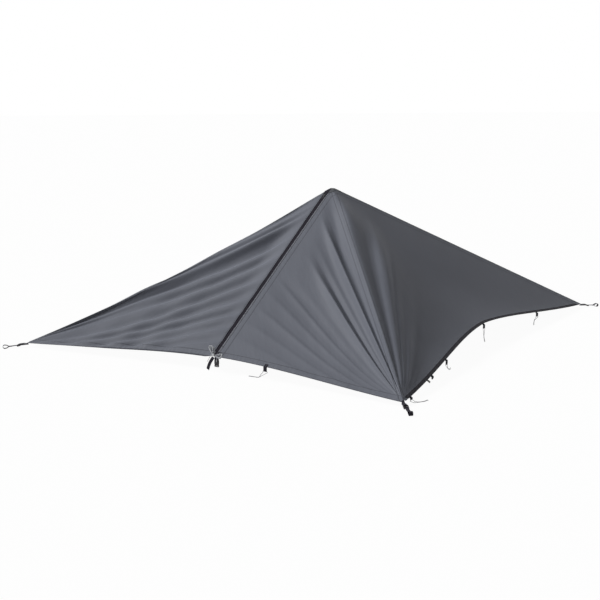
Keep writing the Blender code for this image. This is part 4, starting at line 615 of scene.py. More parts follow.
def tab_route(face, rise, bound=False, outside=False, drop=0.018, gap=CLOTH_GAP):
    """The webbing's line from its upper end round the eye and back, and the eye's frame."""
    origin, along, into, normal = (Vector(v) for v in face.edge_frame(rise))
    outward = DOWN.cross(along).normalized()
    if outward.dot(Vector((normal.x, normal.y, 0))) < 0:
        outward = -outward
    half = WEBBING / 2
    under = -gap - half - (BINDING_GAP + BINDING if bound else 0.0)
    turn = EYE_RADIUS + half
    if outside:
        top = CLOTH + CLOTH_GAP + half
        route = [origin + into * TAB_SEWN + normal * top, origin + normal * top]
        route.append(origin - into * 0.003 + normal * (top - 0.0006))
        bend = origin + outward * 0.0045 + DOWN * 0.006
        inner = under
    else:
        route = [origin + into * TAB_SEWN + normal * under, origin + normal * under]
        route.append(origin - into * 0.008 + normal * under)
        bend = route[-1] + outward * 0.002 + DOWN * 0.003
        inner = under - WEBBING - TOUCH_GAP
    route.append(bend)
    centre = bend + DOWN * drop - outward * turn
    for step in range(5):
        angle = -math.pi * step / 4
        route.append(centre + outward * turn * math.cos(angle) + UP * turn * math.sin(angle))
    back_top = bend - outward * turn * 2
    if outside:
        route += [back_top + UP * 0.0005, origin + into * 0.006 + normal * inner]
    else:
        route += [back_top + DOWN * 0.004, origin - into * 0.002 + normal * inner]
    route.append(origin + into * (TAB_SEWN - 0.002) + normal * inner)
    return route, along, frame_at(centre, along, UP)


# Each tab's body, then its route, its direction along the edge and its eye
TABS = {
    "hem_tab": ("door", *tab_route(FACES["door"], 0.700, outside=True)),
    "back_hem_tab": ("canopy", *tab_route(FACES["back_left"], 0.665, outside=True)),
    "front_tab": ("canopy", *tab_route(FACES["right"], 0.030, bound=True, drop=0.004)),
    "tie_tab": (
        "canopy", *tab_route(FACES["right"], 0.135, bound=True, drop=0.008, gap=2 * CLOTH_GAP)),
}
for number, rise in enumerate((0.22, 0.49, 0.77), 1):
    for key, prefix in (("right", ""), ("back_right", "back_")):
        TABS[f"{prefix}edge_tab_{number}"] = ("canopy", *tab_route(FACES[key], rise, bound=True))
print("tabs:", len(TABS))

# %% [markdown]
# ### Tie cords
# The points of each cord are given from its eye: along the edge, out from
# the tarp and down. They are the knot, a point between and the loose end,
# and a cord that lies on the ground has its halves side by side there. The
# five routes are the ones of the solids, with the same lengths.

# %% Five doubled tie cords
STRAND_SPREAD = 0.0010
CORD_ROUTES = {
    "hem": ((0.034, 0.012, 0.040), (0.060, 0.022, 0.040), (0.090, 0.030, 0.040), True),
    "edge_1": ((0.006, 0.004, 0.026), (0.022, 0.008, 0.040), (0.048, 0.010, 0.043), False),
    "edge_2": ((0.0, 0.001, 0.050), (0.001, 0.003, 0.070), (0.005, 0.007, 0.092), False),
    "edge_3": ((-0.030, 0.0, 0.026), (-0.036, 0.0, 0.046), (-0.035, 0.002, 0.070), False),
    "front": ((0.018, 0.034, 0.030), (0.038, 0.056, 0.030), (0.064, 0.068, 0.030), True),
}


def cord_halves(eye, knot, middle, end, lying):
    """The two halves of a doubled cord, each from the eye to its loose end."""
    radius = CORD_DIAMETER / 2
    seat = EYE_RADIUS - radius - RUNNING_GAP
    turn = WEBBING_WIDTH / 2 + 2 * CORD_DIAMETER
    outward = 1 if (eye.to_3x3() @ Vector((0, 1, 0))).dot(eye.translation) > 0 else -1
    ground = eye.translation.z - radius - TOUCH_GAP
    path = [Vector((0, 0, seat)), Vector(knot), Vector(middle), Vector(end)]

    def placed(point):
        return eye @ Vector((point.x, point.y * outward, -min(point.z, ground)))

    splits = []
    for before, after in zip(path, path[1:]):
        run = path[2] - path[1] if lying and not splits else after - before
        split = Vector((-run.y, run.x, 0)) if lying else Vector((-run.z, 0, run.x))
        split = split.normalized() * (radius + STRAND_SPREAD)
        wrong = split.x > 0 if not splits else split.dot(splits[-1]) < 0
        splits.append(-split if wrong else split)
    halves = []
    for side in (-1, 1):
        strand = [
            Vector((0, 0, seat)),
            Vector((side * WEBBING_WIDTH * 0.42, 0, seat)),
            Vector((side * (WEBBING_WIDTH / 2 + CORD_DIAMETER * 0.6), 0, seat + 0.0002)),
            Vector((side * turn, 0, seat + CORD_DIAMETER)),
            Vector((side * turn * 0.98, 0.0005, seat + CORD_DIAMETER * 3.2)),
        ]
        near = path[1] - splits[0] * side
        strand += [strand[-1].lerp(near, 0.55), near]
        strand += [path[2] - splits[1] * side, path[3] - splits[2] * side * 1.6]
        halves.append([placed(point) for point in smooth_route(strand, 6)])
    return halves, placed(path[1])


CORDS = {}
for place, route in CORD_ROUTES.items():
    side, _, number = place.partition("_")
    ending = f"_{number}" if number else ""
    name = f"{side}_cord{ending}"
    body, _, _, eye = TABS[f"{side}_tab{ending}"]
    halves, knot_place = cord_halves(eye, *route)
    parts = []
    for letter, points in zip("ab", halves):
        part = add_piece(
            f"{name}_{letter}", tube_mesh(name, points, CORD_DIAMETER / 2), body, name)
        parts.append((part, points))
    CORDS[name] = (parts, knot_place, body)
    print(name, "whole length", round(sum(route_length(p) for _, p in parts), 3), "m")

# %% [markdown]
# ### Knots
# An overhand knot is a cord that passes through its own loop. Its closed
# form is the trefoil line, and a short tube along that line reads as a
# knot from every side. One is modelled and copied to each cord.

# %% Knots on the tie cords
KNOT_RADIUS = 0.0036


def trefoil(radius, steps=40):
    points = []
    for step in range(steps + 1):
        t = 2 * math.pi * step / steps
        x = math.sin(t) + 2 * math.sin(2 * t)
        y = math.cos(t) - 2 * math.cos(2 * t)
        points.append(Vector((x, y, -math.sin(3 * t))))
    return [point * radius / 3 for point in points]


knot_shape = tube_mesh("knot", trefoil(KNOT_RADIUS), CORD_DIAMETER / 2 * 0.95, 6, ends=0.0)
for name, (parts, place, body) in CORDS.items():
    points = parts[0][1]
    nearest = min(range(1, len(points) - 1), key=lambda i: (points[i] - place).length)
    run = points[nearest + 1] - points[nearest - 1]
    mesh = knot_shape.copy()
    lift = UP * CORD_DIAMETER if place.z < 0.01 else Vector()
    mesh.transform(frame_at(place + lift, run.orthogonal(), run))
    knot = add_piece(f"{name}_knot", mesh, body)
print("knots:", len(CORDS))

# %% [markdown]
# ### The wound guy line
# A spare guy line is wound in a figure of eight between two fingers and
# held by a wrap round its waist. Here the cord runs through the waist on
# straight passes and out into two lobes, five times over, so its whole
# length is in its turns. Each turn lies one cord's width above the last
# one.

# %% Guy line
GUY_LINE = 0.003
HANK_LOOPS = 5
HANK_PITCH = GUY_LINE + CLOTH_GAP
# Each lobe's direction in degrees and its length, and how the turns fan out
HANK_LOBES = ((122, 0.056), (6, 0.044))
HANK_LOBE_WIDTH = 0.0085
HANK_PLACE = (-0.010, -0.004, 0.009)
HANK_TILT = math.radians(-30)
HANK_FAN = 3.0
HANK_SPREAD = 0.06
HANK_WAIST = 0.016
HANK_SHIFT = GUY_LINE * 0.75
HANK_TOP = HANK_PITCH * HANK_LOOPS
HANK_TAIL = (
    (-0.002, -0.007), (0.004, -0.012), (0.014, -0.014), (0.028, -0.017), (0.044, -0.022))
HANK_LEAD = ((0.021, 0.0060, 0.0125), (0.013, 0.0100, 0.0145), (0.004, 0.0115, 0.0145))
BUCKLE_THICKNESS = 0.009
FOOT_DROP = 0.012
SOCKET_START = FOOT_DROP + LOOP_RADIUS + WEBBING / 2 + RUNNING_GAP
SOCKET_LENGTH = 0.026


def hank_frame():
    tilt = Matrix.Rotation(HANK_TILT, 4, "Y")
    return foot_frame() @ Matrix.Translation(HANK_PLACE) @ tilt


def hank_direction(angle):
    """A direction in the hank's plane, measured up from the right."""
    return Vector((-math.sin(math.radians(angle)), math.cos(math.radians(angle)), 0))


HANK_THROUGH = (hank_direction(HANK_LOBES[1][0]) - hank_direction(HANK_LOBES[0][0])).normalized()
HANK_ACROSS = Vector((-HANK_THROUGH.y, HANK_THROUGH.x, 0))


def hank_lobe(lobe, loop, steps=12):
    """One lobe of one turn, from the waist round and back to it."""
    angle, length = HANK_LOBES[lobe]
    middle = loop - (HANK_LOOPS - 1) / 2
    forward = hank_direction(angle + HANK_FAN * middle)
    sideways = Vector((-forward.y, forward.x, 0))
    sign = -1 if lobe == 0 else 1
    if HANK_ACROSS.dot(sideways) * sign < 0:
        sideways = -sideways
    points = []
    for step in range(steps):
        share = step / (steps - 1)
        point = HANK_THROUGH * HANK_WAIST / 2 * sign
        point += forward * length * (1 + HANK_SPREAD * middle) * math.sin(math.pi * share)
        point += sideways * HANK_LOBE_WIDTH * math.sin(2 * math.pi * share)
        point += HANK_ACROSS * HANK_SHIFT * sign * math.cos(math.pi * share)
        point.z = HANK_PITCH * (loop + (lobe + share) / 2)
        points.append(point)
    return points


def hank_points():
    low_side = HANK_ACROSS * -HANK_SHIFT
    to_hank = hank_frame().inverted() @ foot_frame()
    seat = Vector((SOCKET_START + SOCKET_LENGTH * 0.3, 0.0035, BUCKLE_THICKNESS / 2 + TOUCH_GAP))
    lead = [to_hank @ seat, to_hank @ (seat + Vector((0, 0, GUY_LINE * 1.3)))]
    lead += [to_hank @ Vector(place) for place in HANK_LEAD]
    lead.append(low_side + HANK_THROUGH * (HANK_WAIST / 2 + 0.005))
    lead.append(low_side + HANK_THROUGH * HANK_WAIST / 2)
    points = smooth_route(lead, 2)[:-1]
    for loop in range(HANK_LOOPS):
        points += hank_lobe(0, loop) + hank_lobe(1, loop)
    leave = low_side - HANK_THROUGH * HANK_WAIST / 2 + Vector((0, 0, HANK_TOP))
    tail = [leave] + [leave + Vector((down, right, 0)) for down, right in HANK_TAIL]
    points += smooth_route(tail, 2)
    return [hank_frame() @ point for point in points]


guy_route = smooth_route(hank_points(), 2)
guy_line = add_piece(
    "guy_line", tube_mesh("guy_line", guy_route, GUY_LINE / 2), "door", "guy_line_hank")
print("guy line", round(route_length(guy_route), 3), "m")

# %% [markdown]
# ### The wrap round the hank
# The last turns of the same line are wound tightly round the waist, side
# by side, which keeps the hank together. They are a helix with the rounded
# outline of the bundle inside it.

# %% Wound wrap
def wrap_points(turns=5, steps=20):
    """A helix of rounded-box turns round the hank's waist."""
    around = GUY_LINE * 0.75 + CLOTH_GAP
    wide = HANK_SHIFT + around
    deep = HANK_TOP / 2 + around
    span = HANK_WAIST - 2 * GUY_LINE
    axis_frame = hank_frame() @ frame_at(Vector((0, 0, HANK_TOP / 2)), HANK_ACROSS, HANK_THROUGH)
    points = []

    def squared(value):
        return math.copysign(abs(value) ** 0.6, value)

    for step in range(turns * steps + 1):
        angle = 2 * math.pi * step / steps
        x = squared(math.cos(angle)) * wide
        y = squared(math.sin(angle)) * deep
        z = span * (step / (turns * steps) - 0.5)
        points.append(axis_frame @ Vector((x, y, z)))
    return points


wrap_route = smooth_route(wrap_points(), 2)
WRAP_RADIUS = 0.0011
guy_wrap = add_piece(
    "guy_line_turns", tube_mesh("guy_line_turns", wrap_route, WRAP_RADIUS, 7), "door",
    "guy_line_wrap")
print("wrap", round(route_length(wrap_route), 3), "m of cord in its turns")

# %% [markdown]
# ## The cloth faces
# Each face is one continuous curved sheet, laid out as a fine grid
# over its fan, because the folds of a pulled cloth follow the fan's lines.
# The grid is finer near the ridge and the lower edge, where seams bend
# sharply. It carries three records for the finish: a UV map in metres for
# the weave, each point's distance to the lower edge, to the ridge and to
# the far seam, and how far along those three lines the point lies. Hems
# and stitches are then drawn at their real places.

# %% Grids and sheets
def grid_mesh(name, points, columns, uv, outward=None):
    """A mesh over rows of points, each with its place in the UV map."""
    across = np.arange(columns - 1)
    start = (np.arange(len(points) // columns - 1)[:, None] * columns + across).ravel()
    quads = np.stack((start, start + 1, start + columns + 1, start + columns), 1)
    a, b, _, d = points[quads[len(quads) // 2]]
    if outward is not None and np.cross(b - a, d - a) @ outward < 0:
        quads = quads[:, ::-1]
    mesh = bpy.data.meshes.new(name)
    mesh.from_pydata(points.tolist(), [], quads.tolist())
    index = np.zeros(len(mesh.loops), dtype=np.int32)
    mesh.loops.foreach_get("vertex_index", index)
    mesh.uv_layers.new(name="weave").data.foreach_set("uv", uv[index].ravel())
    return mesh


def record(mesh, name, values):
    """Keep three numbers for each point of a mesh."""
    mesh.attributes.new(name, "FLOAT_VECTOR", "POINT").data.foreach_set("vector", values.ravel())


def thicken(piece, thickness, offset, edge=0.0):
    """Give a sheet its thickness, and soften its cut edges."""
    shell = piece.modifiers.new("thickness", "SOLIDIFY")
    shell.thickness = thickness
    shell.offset = offset
    if edge:
        soft = piece.modifiers.new("soft edges", "BEVEL")
        soft.width = edge
        soft.segments = 2
        soft.angle_limit = math.radians(60)
    apply_modifiers(piece)
    smooth(piece, 50)


def distance_to_line(points, line):
    """Least distance from each point to a chain of short lines."""
    least = np.full(len(points), np.inf)
    for start, end in zip(line, line[1:]):
        span = end - start
        share = np.clip((points - start) @ span / (span @ span), 0, 1)
        least = np.minimum(least, lengths(points - start - share[:, None] * span))
    return least


def area_of(piece):
    return sum(polygon.area for polygon in piece.data.polygons)


def cloth_mesh(face, rows=76):
    near_ridge, near_edge = np.geomspace(0.0008, 0.005, 4), 1 - np.geomspace(0.0009, 0.02, 10)
    shares = np.concatenate((np.linspace(0, 1, 171), near_ridge, near_edge))
    shares = np.unique(shares.round(5))
    columns = len(shares)
    rises = np.linspace(0, 1, rows) ** 0.9
    rises = np.maximum(rises, 0.020 / ridge_length(face.tip) * (1 + np.arange(rows) * 0.01))
    share_grid, rise_grid = (grid.ravel() for grid in np.meshgrid(shares, rises))
    points = face.points(share_grid, rise_grid)
    ridge_run = unit(PEAK - CORNERS[face.tip])
    level = unit(np.cross(face.normal, ridge_run))
    uv = np.stack((points @ ridge_run, points @ level), 1)
    mesh = grid_mesh(face.name, points, columns, uv, face.normal)
    line = np.linspace(0, 1, 60)
    ones = np.ones(60)
    lines = face.points(ones, line), face.points(line, ones), face.points(ones * 0, line)
    record(mesh, "edges", np.stack([
        distance_to_line(points, lines[0]), distance_to_line(points, lines[2]),
        distance_to_line(points, lines[1])], 1))
    straight = [np.linalg.norm(line[-1] - line[0]) for line in lines]
    record(mesh, "run", np.stack((
        rise_grid * straight[0], rise_grid * straight[2], share_grid * straight[1]), 1))
    return mesh


CLOTH_PIECES = {}
for key, face in FACES.items():
    body = "door" if key == "door" else "canopy"
    piece = add_piece(face.name.replace("panel", "cloth"), cloth_mesh(face), body, face.name)
    area = area_of(piece)
    thicken(piece, CLOTH, 1.0)
    CLOTH_PIECES[key] = piece
    print(piece.name, "area", round(area, 3), "m2,", len(piece.data.polygons), "faces")

# %% [markdown]
# ### Felled seams on the ridges
# Two faces meet on each ridge in a felled seam: their edges are folded into
# each other and sewn flat, which leaves a small round bead on the ridge. It
# closes the line between the two sheets.

# %% Ridge seams
SEAM_FROM_PEAK = 0.058
SEAM_FROM_CORNER = 0.018
RIDGE_SEAMS = []
for corner in CORNERS:
    distances = np.linspace(ridge_length(corner) - SEAM_FROM_CORNER, SEAM_FROM_PEAK, 40)
    out = unit(sum(face_normal(corner, other) for other in NEIGHBOURS[corner]))
    route = [Vector(ridge_at(corner, distance) + out * CLOTH * 0.55) for distance in distances]
    RIDGE_SEAMS.append(add_piece(
        f"{corner}_ridge_seam", tube_mesh(f"{corner}_seam", route, CLOTH * 0.8), "canopy"))
print("ridge seams:", len(RIDGE_SEAMS))

# %% [markdown]
# ### Cap and patch
# Four faces and a zip meet at the peak, too many layers to be sewn to a
# point. A small cap covers them outside and a patch takes the pole's
# pressure inside. Each is a ring of points down the five lines that leave
# the peak, and a soft minimum of two heights rounds the crown.

# %% Cap and patch
CAP_RIM = 0.066
CAP_CLOTH = 0.0007
CAP_EDGE = 0.0002
CROWN = 0.010
CROWN_BLEND = 0.002
CAP_ZIP_RIM = zip_trim(CAP_FRONT_RIM)
CAP_TO_ZIP = zip_point(CAP_ZIP_RIM, ZIP_STRIPE / 2) - PEAK
PATCH_RIM = 0.048
PATCH_CROWN = 0.024
PATCH_HOLE = 0.0056
CAP_RIM_SEAM = 0.034


def distances_along(points):
    """How far each point lies along a line, from its first point."""
    return np.concatenate(([0], np.cumsum(lengths(np.diff(points, axis=0)))))


def strap_uv(grid):
    """Metres across and along a strap, for each of its points."""
    across = distances_along(grid[0])
    along = distances_along(grid[:, grid.shape[1] // 2])
    return np.stack(np.meshgrid(across, along), -1).reshape(-1, 2)


def strip_mesh(name, grid, outward=None):
    return grid_mesh(name, grid.reshape(-1, 3), grid.shape[1], strap_uv(grid), outward)


def rounded_crown(heights, crown_height):
    """The lower of a height and the crown's, with a soft change between them."""
    return -CROWN_BLEND * np.logaddexp(-heights / CROWN_BLEND, -crown_height / CROWN_BLEND)


def peak_shell(name, rims, crown, lift, hole, columns_between=12, rows=14):
    """A rounded sheet round the peak, out to a rim on each of five lines."""
    ridges = ("left", "front", "right", "back")
    lines = [lambda reach, corner=corner: ridge_at(corner, reach) for corner in ridges]
    lines.insert(1, lambda reach: PEAK + unit(CAP_TO_ZIP) * reach)
    crown_height = min(line(crown)[2] for line in lines)
    points = []
    for row in range(rows):
        reach = 0.04 + 0.96 * (row / (rows - 1)) ** 0.8
        for index in range(5):
            start = lines[index](reach * rims[index])
            end = lines[(index + 1) % 5](reach * rims[(index + 1) % 5])
            for step in range(columns_between):
                points.append(start + (end - start) * step / columns_between)
        points.append(lines[0](reach * rims[0]))
    points = np.array(points)
    flat_distance = lengths(points[:, :2])
    outward = points[:, :2] / np.maximum(flat_distance, 1e-6)[:, None]
    points[:, :2] += outward * np.maximum(hole - flat_distance, 0)[:, None]
    points[:, 2] = rounded_crown(points[:, 2], crown_height) + lift
    columns = 5 * columns_between + 1
    mesh = grid_mesh(name, points, columns, points[:, :2].copy(), np.array((0.0, 0.0, 1.0)))
    from_rim = distance_to_line(points, points[-columns:])
    angle = np.arctan2(points[:, 1], points[:, 0]) * 0.06
    ones = np.ones(len(points))
    record(mesh, "edges", np.stack((from_rim + CAP_RIM_SEAM, ones, ones), 1))
    record(mesh, "run", np.stack((angle, angle, angle), 1))
    work = bmesh.new()
    work.from_mesh(mesh)
    work.verts.ensure_lookup_table()
    if not hole:
        work.faces.new([work.verts[i] for i in range(columns - 1)])
    bmesh.ops.remove_doubles(work, verts=work.verts, dist=0.000001)
    work.to_mesh(mesh)
    work.free()
    return mesh


cap_lift = (CLOTH + CLOTH_GAP) / FACE_NORMAL[2]
cap_rims = (CAP_RIM, np.linalg.norm(CAP_TO_ZIP), CAP_FRONT_RIM, CAP_RIM, CAP_RIM)
cap = add_piece(
    "peak_cap_cloth", peak_shell("cap", cap_rims, CROWN, cap_lift, 0.0), "canopy", "peak_cap")
patch = add_piece(
    "peak_patch_cloth",
    peak_shell("patch", (PATCH_RIM,) * 5, PATCH_CROWN, -2 * CLOTH_GAP, PATCH_HOLE),
    "canopy", "peak_patch")
for piece, offset in ((cap, 1.0), (patch, -1.0)):
    area = area_of(piece)
    thicken(piece, CAP_CLOTH, offset, CAP_EDGE)
    side = math.sqrt(area) * 1.1
print("cap rims", [round(float(v), 3) for v in cap_rims])

# %% [markdown]
# ### The tape over the zip's top
# The zip's black stripe runs on over the cap to the peak. There it is a
# tape that is sewn down over the ends of the zip's own tapes, because a
# zip is weakest where its coil stops. Each line along it starts on the
# left ridge, turns over it, and follows the rounded cap down to the slider.

# %% Tape over the cap
COVER_HALF = 0.0155
COVER_LAP = 0.009
COVER_THICKNESS = 0.0008
COVER_LIFT = CLOTH + CLOTH_GAP + CAP_CLOTH + 0.0009
crown_top = min(ridge_at(corner, CROWN)[2] for corner in CORNERS)


def cover_line(across, rows=26):
    """One line along the tape, from behind the ridge to the slider."""
    start = (ZIP_BESIDE_PEAK - across) / math.tan(ZIP_ANGLE)
    corner = abs(across) / COVER_HALF
    rounding = 0.004 * (1 - math.sqrt(1 - corner ** 2))
    over = unit(np.cross(LEFT_RIDGE_DOWN, face_normal("back", "left")))
    over = over * np.sign(over[1])
    length = CAP_ZIP_RIM + 0.0006 - start + COVER_LAP
    points = []
    for share in np.linspace(0, 1, rows):
        reach = share * length - COVER_LAP + rounding * (1 - share)
        if reach < 0:
            points.append(zip_point(start, across) - over * reach)
        else:
            points.append(zip_point(start + reach, across))
    return points


cover = np.array([cover_line(across) for across in np.linspace(-COVER_HALF, COVER_HALF, 11)])
cover = cover.transpose(1, 0, 2)
uv = strap_uv(cover)
flat = cover.reshape(-1, 3).copy()
flat[:, 2] = rounded_crown(flat[:, 2], crown_top) + COVER_LIFT / FACE_NORMAL[2]
cover_tape = add_piece(
    "zip_top_cover", grid_mesh("zip_top_cover", flat, 11, uv, FACE_NORMAL), "canopy")
thicken(cover_tape, COVER_THICKNESS, 0.0, CAP_EDGE)
print("cover tape", round(float(np.linalg.norm(flat[5] - flat[-6])), 3), "m long")

# %% [markdown]
# ## Straps, tabs and tape
# Webbing is woven flat and only bends one way. Each strap is therefore a
# few stations along its route, smoothed from one to the next, with the
# same width throughout. Its UV map runs in metres across and along it, so
# the ribs of the weave have one size on every strap.

# %% A strap along its stations
def fill_across(rows, columns):
    """Rows of two or three points, filled in to an even number of columns."""
    rows = np.array([[tuple(point) for point in row] for row in rows])
    places = np.linspace(0, rows.shape[1] - 1, columns)
    low = np.minimum(places.astype(int), rows.shape[1] - 2)
    part = (places - low)[None, :, None]
    return rows[:, low] * (1 - part) + rows[:, low + 1] * part


def add_strap(name, stations, thickness, body, node, steps=4, columns=7):
    lines = [smooth_route([row[i] for row in stations], steps) for i in range(len(stations[0]))]
    grid = fill_across(list(zip(*lines)), columns)
    piece = add_piece(name, strip_mesh(name, grid), body, node)
    thicken(piece, thickness, 0.0, thickness * 0.28)
    return piece


def across_route(route, across, width):
    """Two points at each place of a route, on both sides of it."""
    side = Vector(across) * width / 2
    return [(Vector(point) - side, Vector(point) + side) for point in route]


STRAPS = []
for name, (body, route, along, _) in TABS.items():
    STRAPS.append(add_strap(
        f"{name}_webbing", across_route(route, along, WEBBING_WIDTH), WEBBING, body, name))
print("tabs made:", len(STRAPS))

# %% [markdown]
# ### Corner straps
# At each corner a short webbing is sewn under both faces and turns back
# round the fixed bar of a ladder lock. A second strap runs through the
# lock and ends in a sewn eye for the peg. Pulling its tail tightens the
# corner.

# %% Corner webbing and peg straps
FIXED_BAR = 0.030
FRONT_BAR = 0.057
PEG_EYE_REACH = 0.135
PEG_EYE_RADIUS = 0.011
PEG_EYE_NECK = 0.028


def arc(centre_x, centre_z, radius, start, end, steps):
    points = []
    for step in range(steps + 1):
        angle = math.radians(start + (end - start) * step / steps)
        points.append((centre_x + radius * math.cos(angle), centre_z + radius * math.sin(angle)))
    return points


def corner_stations(corner):
    """Three points across: the webbing follows both faces, then lies flat."""
    place = corner_frame(corner)
    side_axis = np.array(place.to_3x3() @ Vector((0, 1, 0)))
    half = WEBBING_WIDTH / 2
    faces = []
    for other in NEIGHBOURS[corner]:
        faces.append((ClothFace.inward(corner, CORNERS[other]), face_normal(corner, other)))
    faces.sort(key=lambda face: face[0] @ side_axis)
    bisector = unit(faces[0][1] + faces[1][1])
    depth = CLOTH_GAP + WEBBING / 2
    stations = []
    for distance in (0.060, 0.040, 0.020, TOUCH_GAP):
        centre = ridge_points(corner, distance / ridge_length(corner))[0]
        stations.append((
            centre + faces[0][0] * half - faces[0][1] * depth,
            centre - bisector * (depth / (bisector @ faces[0][1])),
            centre + faces[1][0] * half - faces[1][1] * depth))
    drop = half * math.tan(math.acos(np.clip(faces[0][1] @ faces[1][1], -1, 1)) / 2)
    sewn = UPPER_RUN - WEBBING - TOUCH_GAP
    runs = [(0.0048, UPPER_RUN, 0.5), (0.012, UPPER_RUN, 0.0)]
    runs += [(x, z, 0.0) for x, z in arc(FIXED_BAR, BAR_HEIGHT, LOOP_RADIUS, 90, -90, 6)]
    runs += [(FIXED_BAR - 0.006, sewn - 0.001, 0.0), (0.018, sewn, 0.0), (0.014, sewn, 0.0)]
    for x, z, share in runs:
        low = z - drop * share
        row = ((x, -half, low), (x, 0, z), (x, half, low))
        stations.append(tuple(np.array(place @ Vector(point)) for point in row))
    return stations


def peg_route():
    """From the loose end through the lock, round the sewn eye and back."""
    neck = PEG_EYE_REACH - PEG_EYE_NECK
    under = -WEBBING - TOUCH_GAP

    def on_neck(share, height):
        return neck + PEG_EYE_NECK * share, PEG_EYE_RADIUS * height

    route = [(x, 0.0) for x in (-0.012, 0.009, FIXED_BAR, FRONT_BAR, 0.070, neck)]
    route += [on_neck(0.35, 0.50), on_neck(0.70, 0.88)]
    route += arc(PEG_EYE_REACH, 0.0, PEG_EYE_RADIUS, 90, -90, 8)
    route += [on_neck(0.66, -0.90), on_neck(0.30, -0.56)]
    return route + [(neck + 0.001, under), (neck - 0.018, under)]


for corner in CORNERS:
    frame_here = corner_frame(corner)
    STRAPS.append(add_strap(
        f"{corner}_corner_strap", corner_stations(corner), WEBBING, "canopy",
        f"{corner}_corner_webbing", columns=9))
    route = [frame_here @ Vector((x, 0, z)) for x, z in peg_route()]
    across = frame_here.to_3x3() @ Vector((0, 1, 0))
    STRAPS.append(add_strap(
        f"{corner}_peg_webbing", across_route(route, across, WEBBING_WIDTH), WEBBING,
        f"strap_{corner}", f"{corner}_peg_strap", steps=3))
print("straps so far:", len(STRAPS))

# %% [markdown]
# ### Webbing at the zip's foot
# A wider webbing is sewn over the door beside the zip. It carries the
# socket of the release buckle, which takes the pull off the zip's end. Its
# loose end hangs down to the ground on the left.

# %% Foot webbing, strap tail and blank label
FOOT_WIDTH = 0.025
TAIL_LENGTH = 0.088
TAIL_LEAN = math.radians(27)
TAIL_BOW = 0.011
TAIL_RIPPLE = 0.0012
LABEL_WIDTH = 0.016
LABEL_RISE = 0.112


def foot_stations():
    place = foot_frame()
    half = FOOT_WIDTH / 2
    stations = []
    for distance in (ZIP_LENGTH - 0.036, ZIP_LENGTH - 0.012, ZIP_LENGTH - 0.001):
        low = zip_point(distance, FOOT_SHIFT - half, FOOT_LIFT)
        stations.append((low, low + ZIP_ACROSS * FOOT_WIDTH))
    route = [(FOOT_DROP * 0.3, LOOP_RADIUS * 0.9), (FOOT_DROP, LOOP_RADIUS)]
    route += arc(FOOT_DROP, 0.0, LOOP_RADIUS, 60, -90, 5)
    route += [(FOOT_DROP * 0.6, -LOOP_RADIUS * 0.7), (FOOT_DROP * 0.25, -LOOP_RADIUS * 0.2)]
    for x, z in route:
        stations.append((place @ Vector((x, -half, z)), place @ Vector((x, half, z))))
    return stations


def tail_stations():
    place = foot_frame()
    down = Vector((math.cos(TAIL_LEAN), -math.sin(TAIL_LEAN), 0))
    across = Vector((math.sin(TAIL_LEAN), math.cos(TAIL_LEAN), 0))
    start = Vector((0.001, -FOOT_WIDTH / 2 - CLOTH_GAP - WEBBING_WIDTH / 2 * across.y, 0.002))
    route = []
    for step in range(9):
        share = step / 8
        bow = TAIL_BOW * math.sin(math.pi * share)
        bow += TAIL_RIPPLE * math.sin(2.6 * math.pi * share) * share
        route.append(place @ (start + down * TAIL_LENGTH * share + Vector((0, 0, bow))))
    return across_route(route, place.to_3x3() @ across, WEBBING_WIDTH)


STRAPS.append(add_strap("foot_strap", foot_stations(), WEBBING, "door", "foot_webbing"))
STRAPS.append(add_strap("foot_tail", tail_stations(), WEBBING, "door", "foot_strap_tail"))


def label_route():
    origin, along, into, normal = (Vector(v) for v in FACES["right"].edge_frame(LABEL_RISE))
    under = -BINDING_GAP - BINDING - CLOTH_GAP - BINDING / 2
    low = under - BINDING - TOUCH_GAP
    start = origin + into * 0.012 + normal * under
    lip = origin - into * 0.011 + normal * under
    back = normal * (low - under)
    turn = lip - into * 0.006
    route = [start, lip, turn + DOWN * 0.002, turn - into * 0.0004 + DOWN * 0.0032]
    route += [turn + back + DOWN * 0.0035, lip + back * 1.4 + DOWN * 0.001, start + back]
    return route, along


route, along = label_route()
label = add_strap(
    "blank_label", across_route(route, along, LABEL_WIDTH), BINDING, "canopy", "edge_label")
print("straps:", len(STRAPS), "and one label without any words")

# %% [markdown]
# ### Bound edges
# The two steep curved edges on the right are not hemmed. A soft ribbed tape
# is folded over the cloth and sewn through, which keeps a curve from
# puckering. Its section goes down the outside, round the cloth's edge and
# up the inside, and the legs narrow near the corners.

# %% Edge tape
EDGE_TAPE_LEG = 0.030
FOLD_REACH = 0.0012


def binding_mesh(face, rows=110):
    rises = np.linspace(0.021, 0.979, rows)
    edge = face.edge(rises)
    to_ends = [lengths(edge - end) for end in face.edge(np.array((0.0, 1.0)))]
    leg = EDGE_TAPE_LEG * np.minimum(1, 0.30 + np.minimum(*to_ends) / 0.12)
    width = lengths(face.points(np.zeros(rows), rises) - face.points(np.ones(rows), rises))
    outer = CLOTH + 0.0006
    # How far in from the edge, as a share of the leg, and how high
    section = (
        (1.0, outer - 0.0002), (0.7, outer), (0.4, outer), (0.15, outer), (0.0, outer - 0.0001),
        (-0.05, CLOTH / 2),
        (0.0, -0.0006), (0.15, -0.0007), (0.4, -0.0007), (0.7, -0.0007), (1.0, -0.0005))
    lines = []
    for reach, lift in section:
        points = face.points(1 - max(reach, 0) * leg / width, rises) + face.normal * lift
        if reach < 0:
            inward = (face.points(1 - 0.004, rises) - points) / (0.004 * width)[:, None]
            points = points - inward * FOLD_REACH
        lines.append(points)
    return strip_mesh(face.name, np.stack(lines, 1), face.normal)


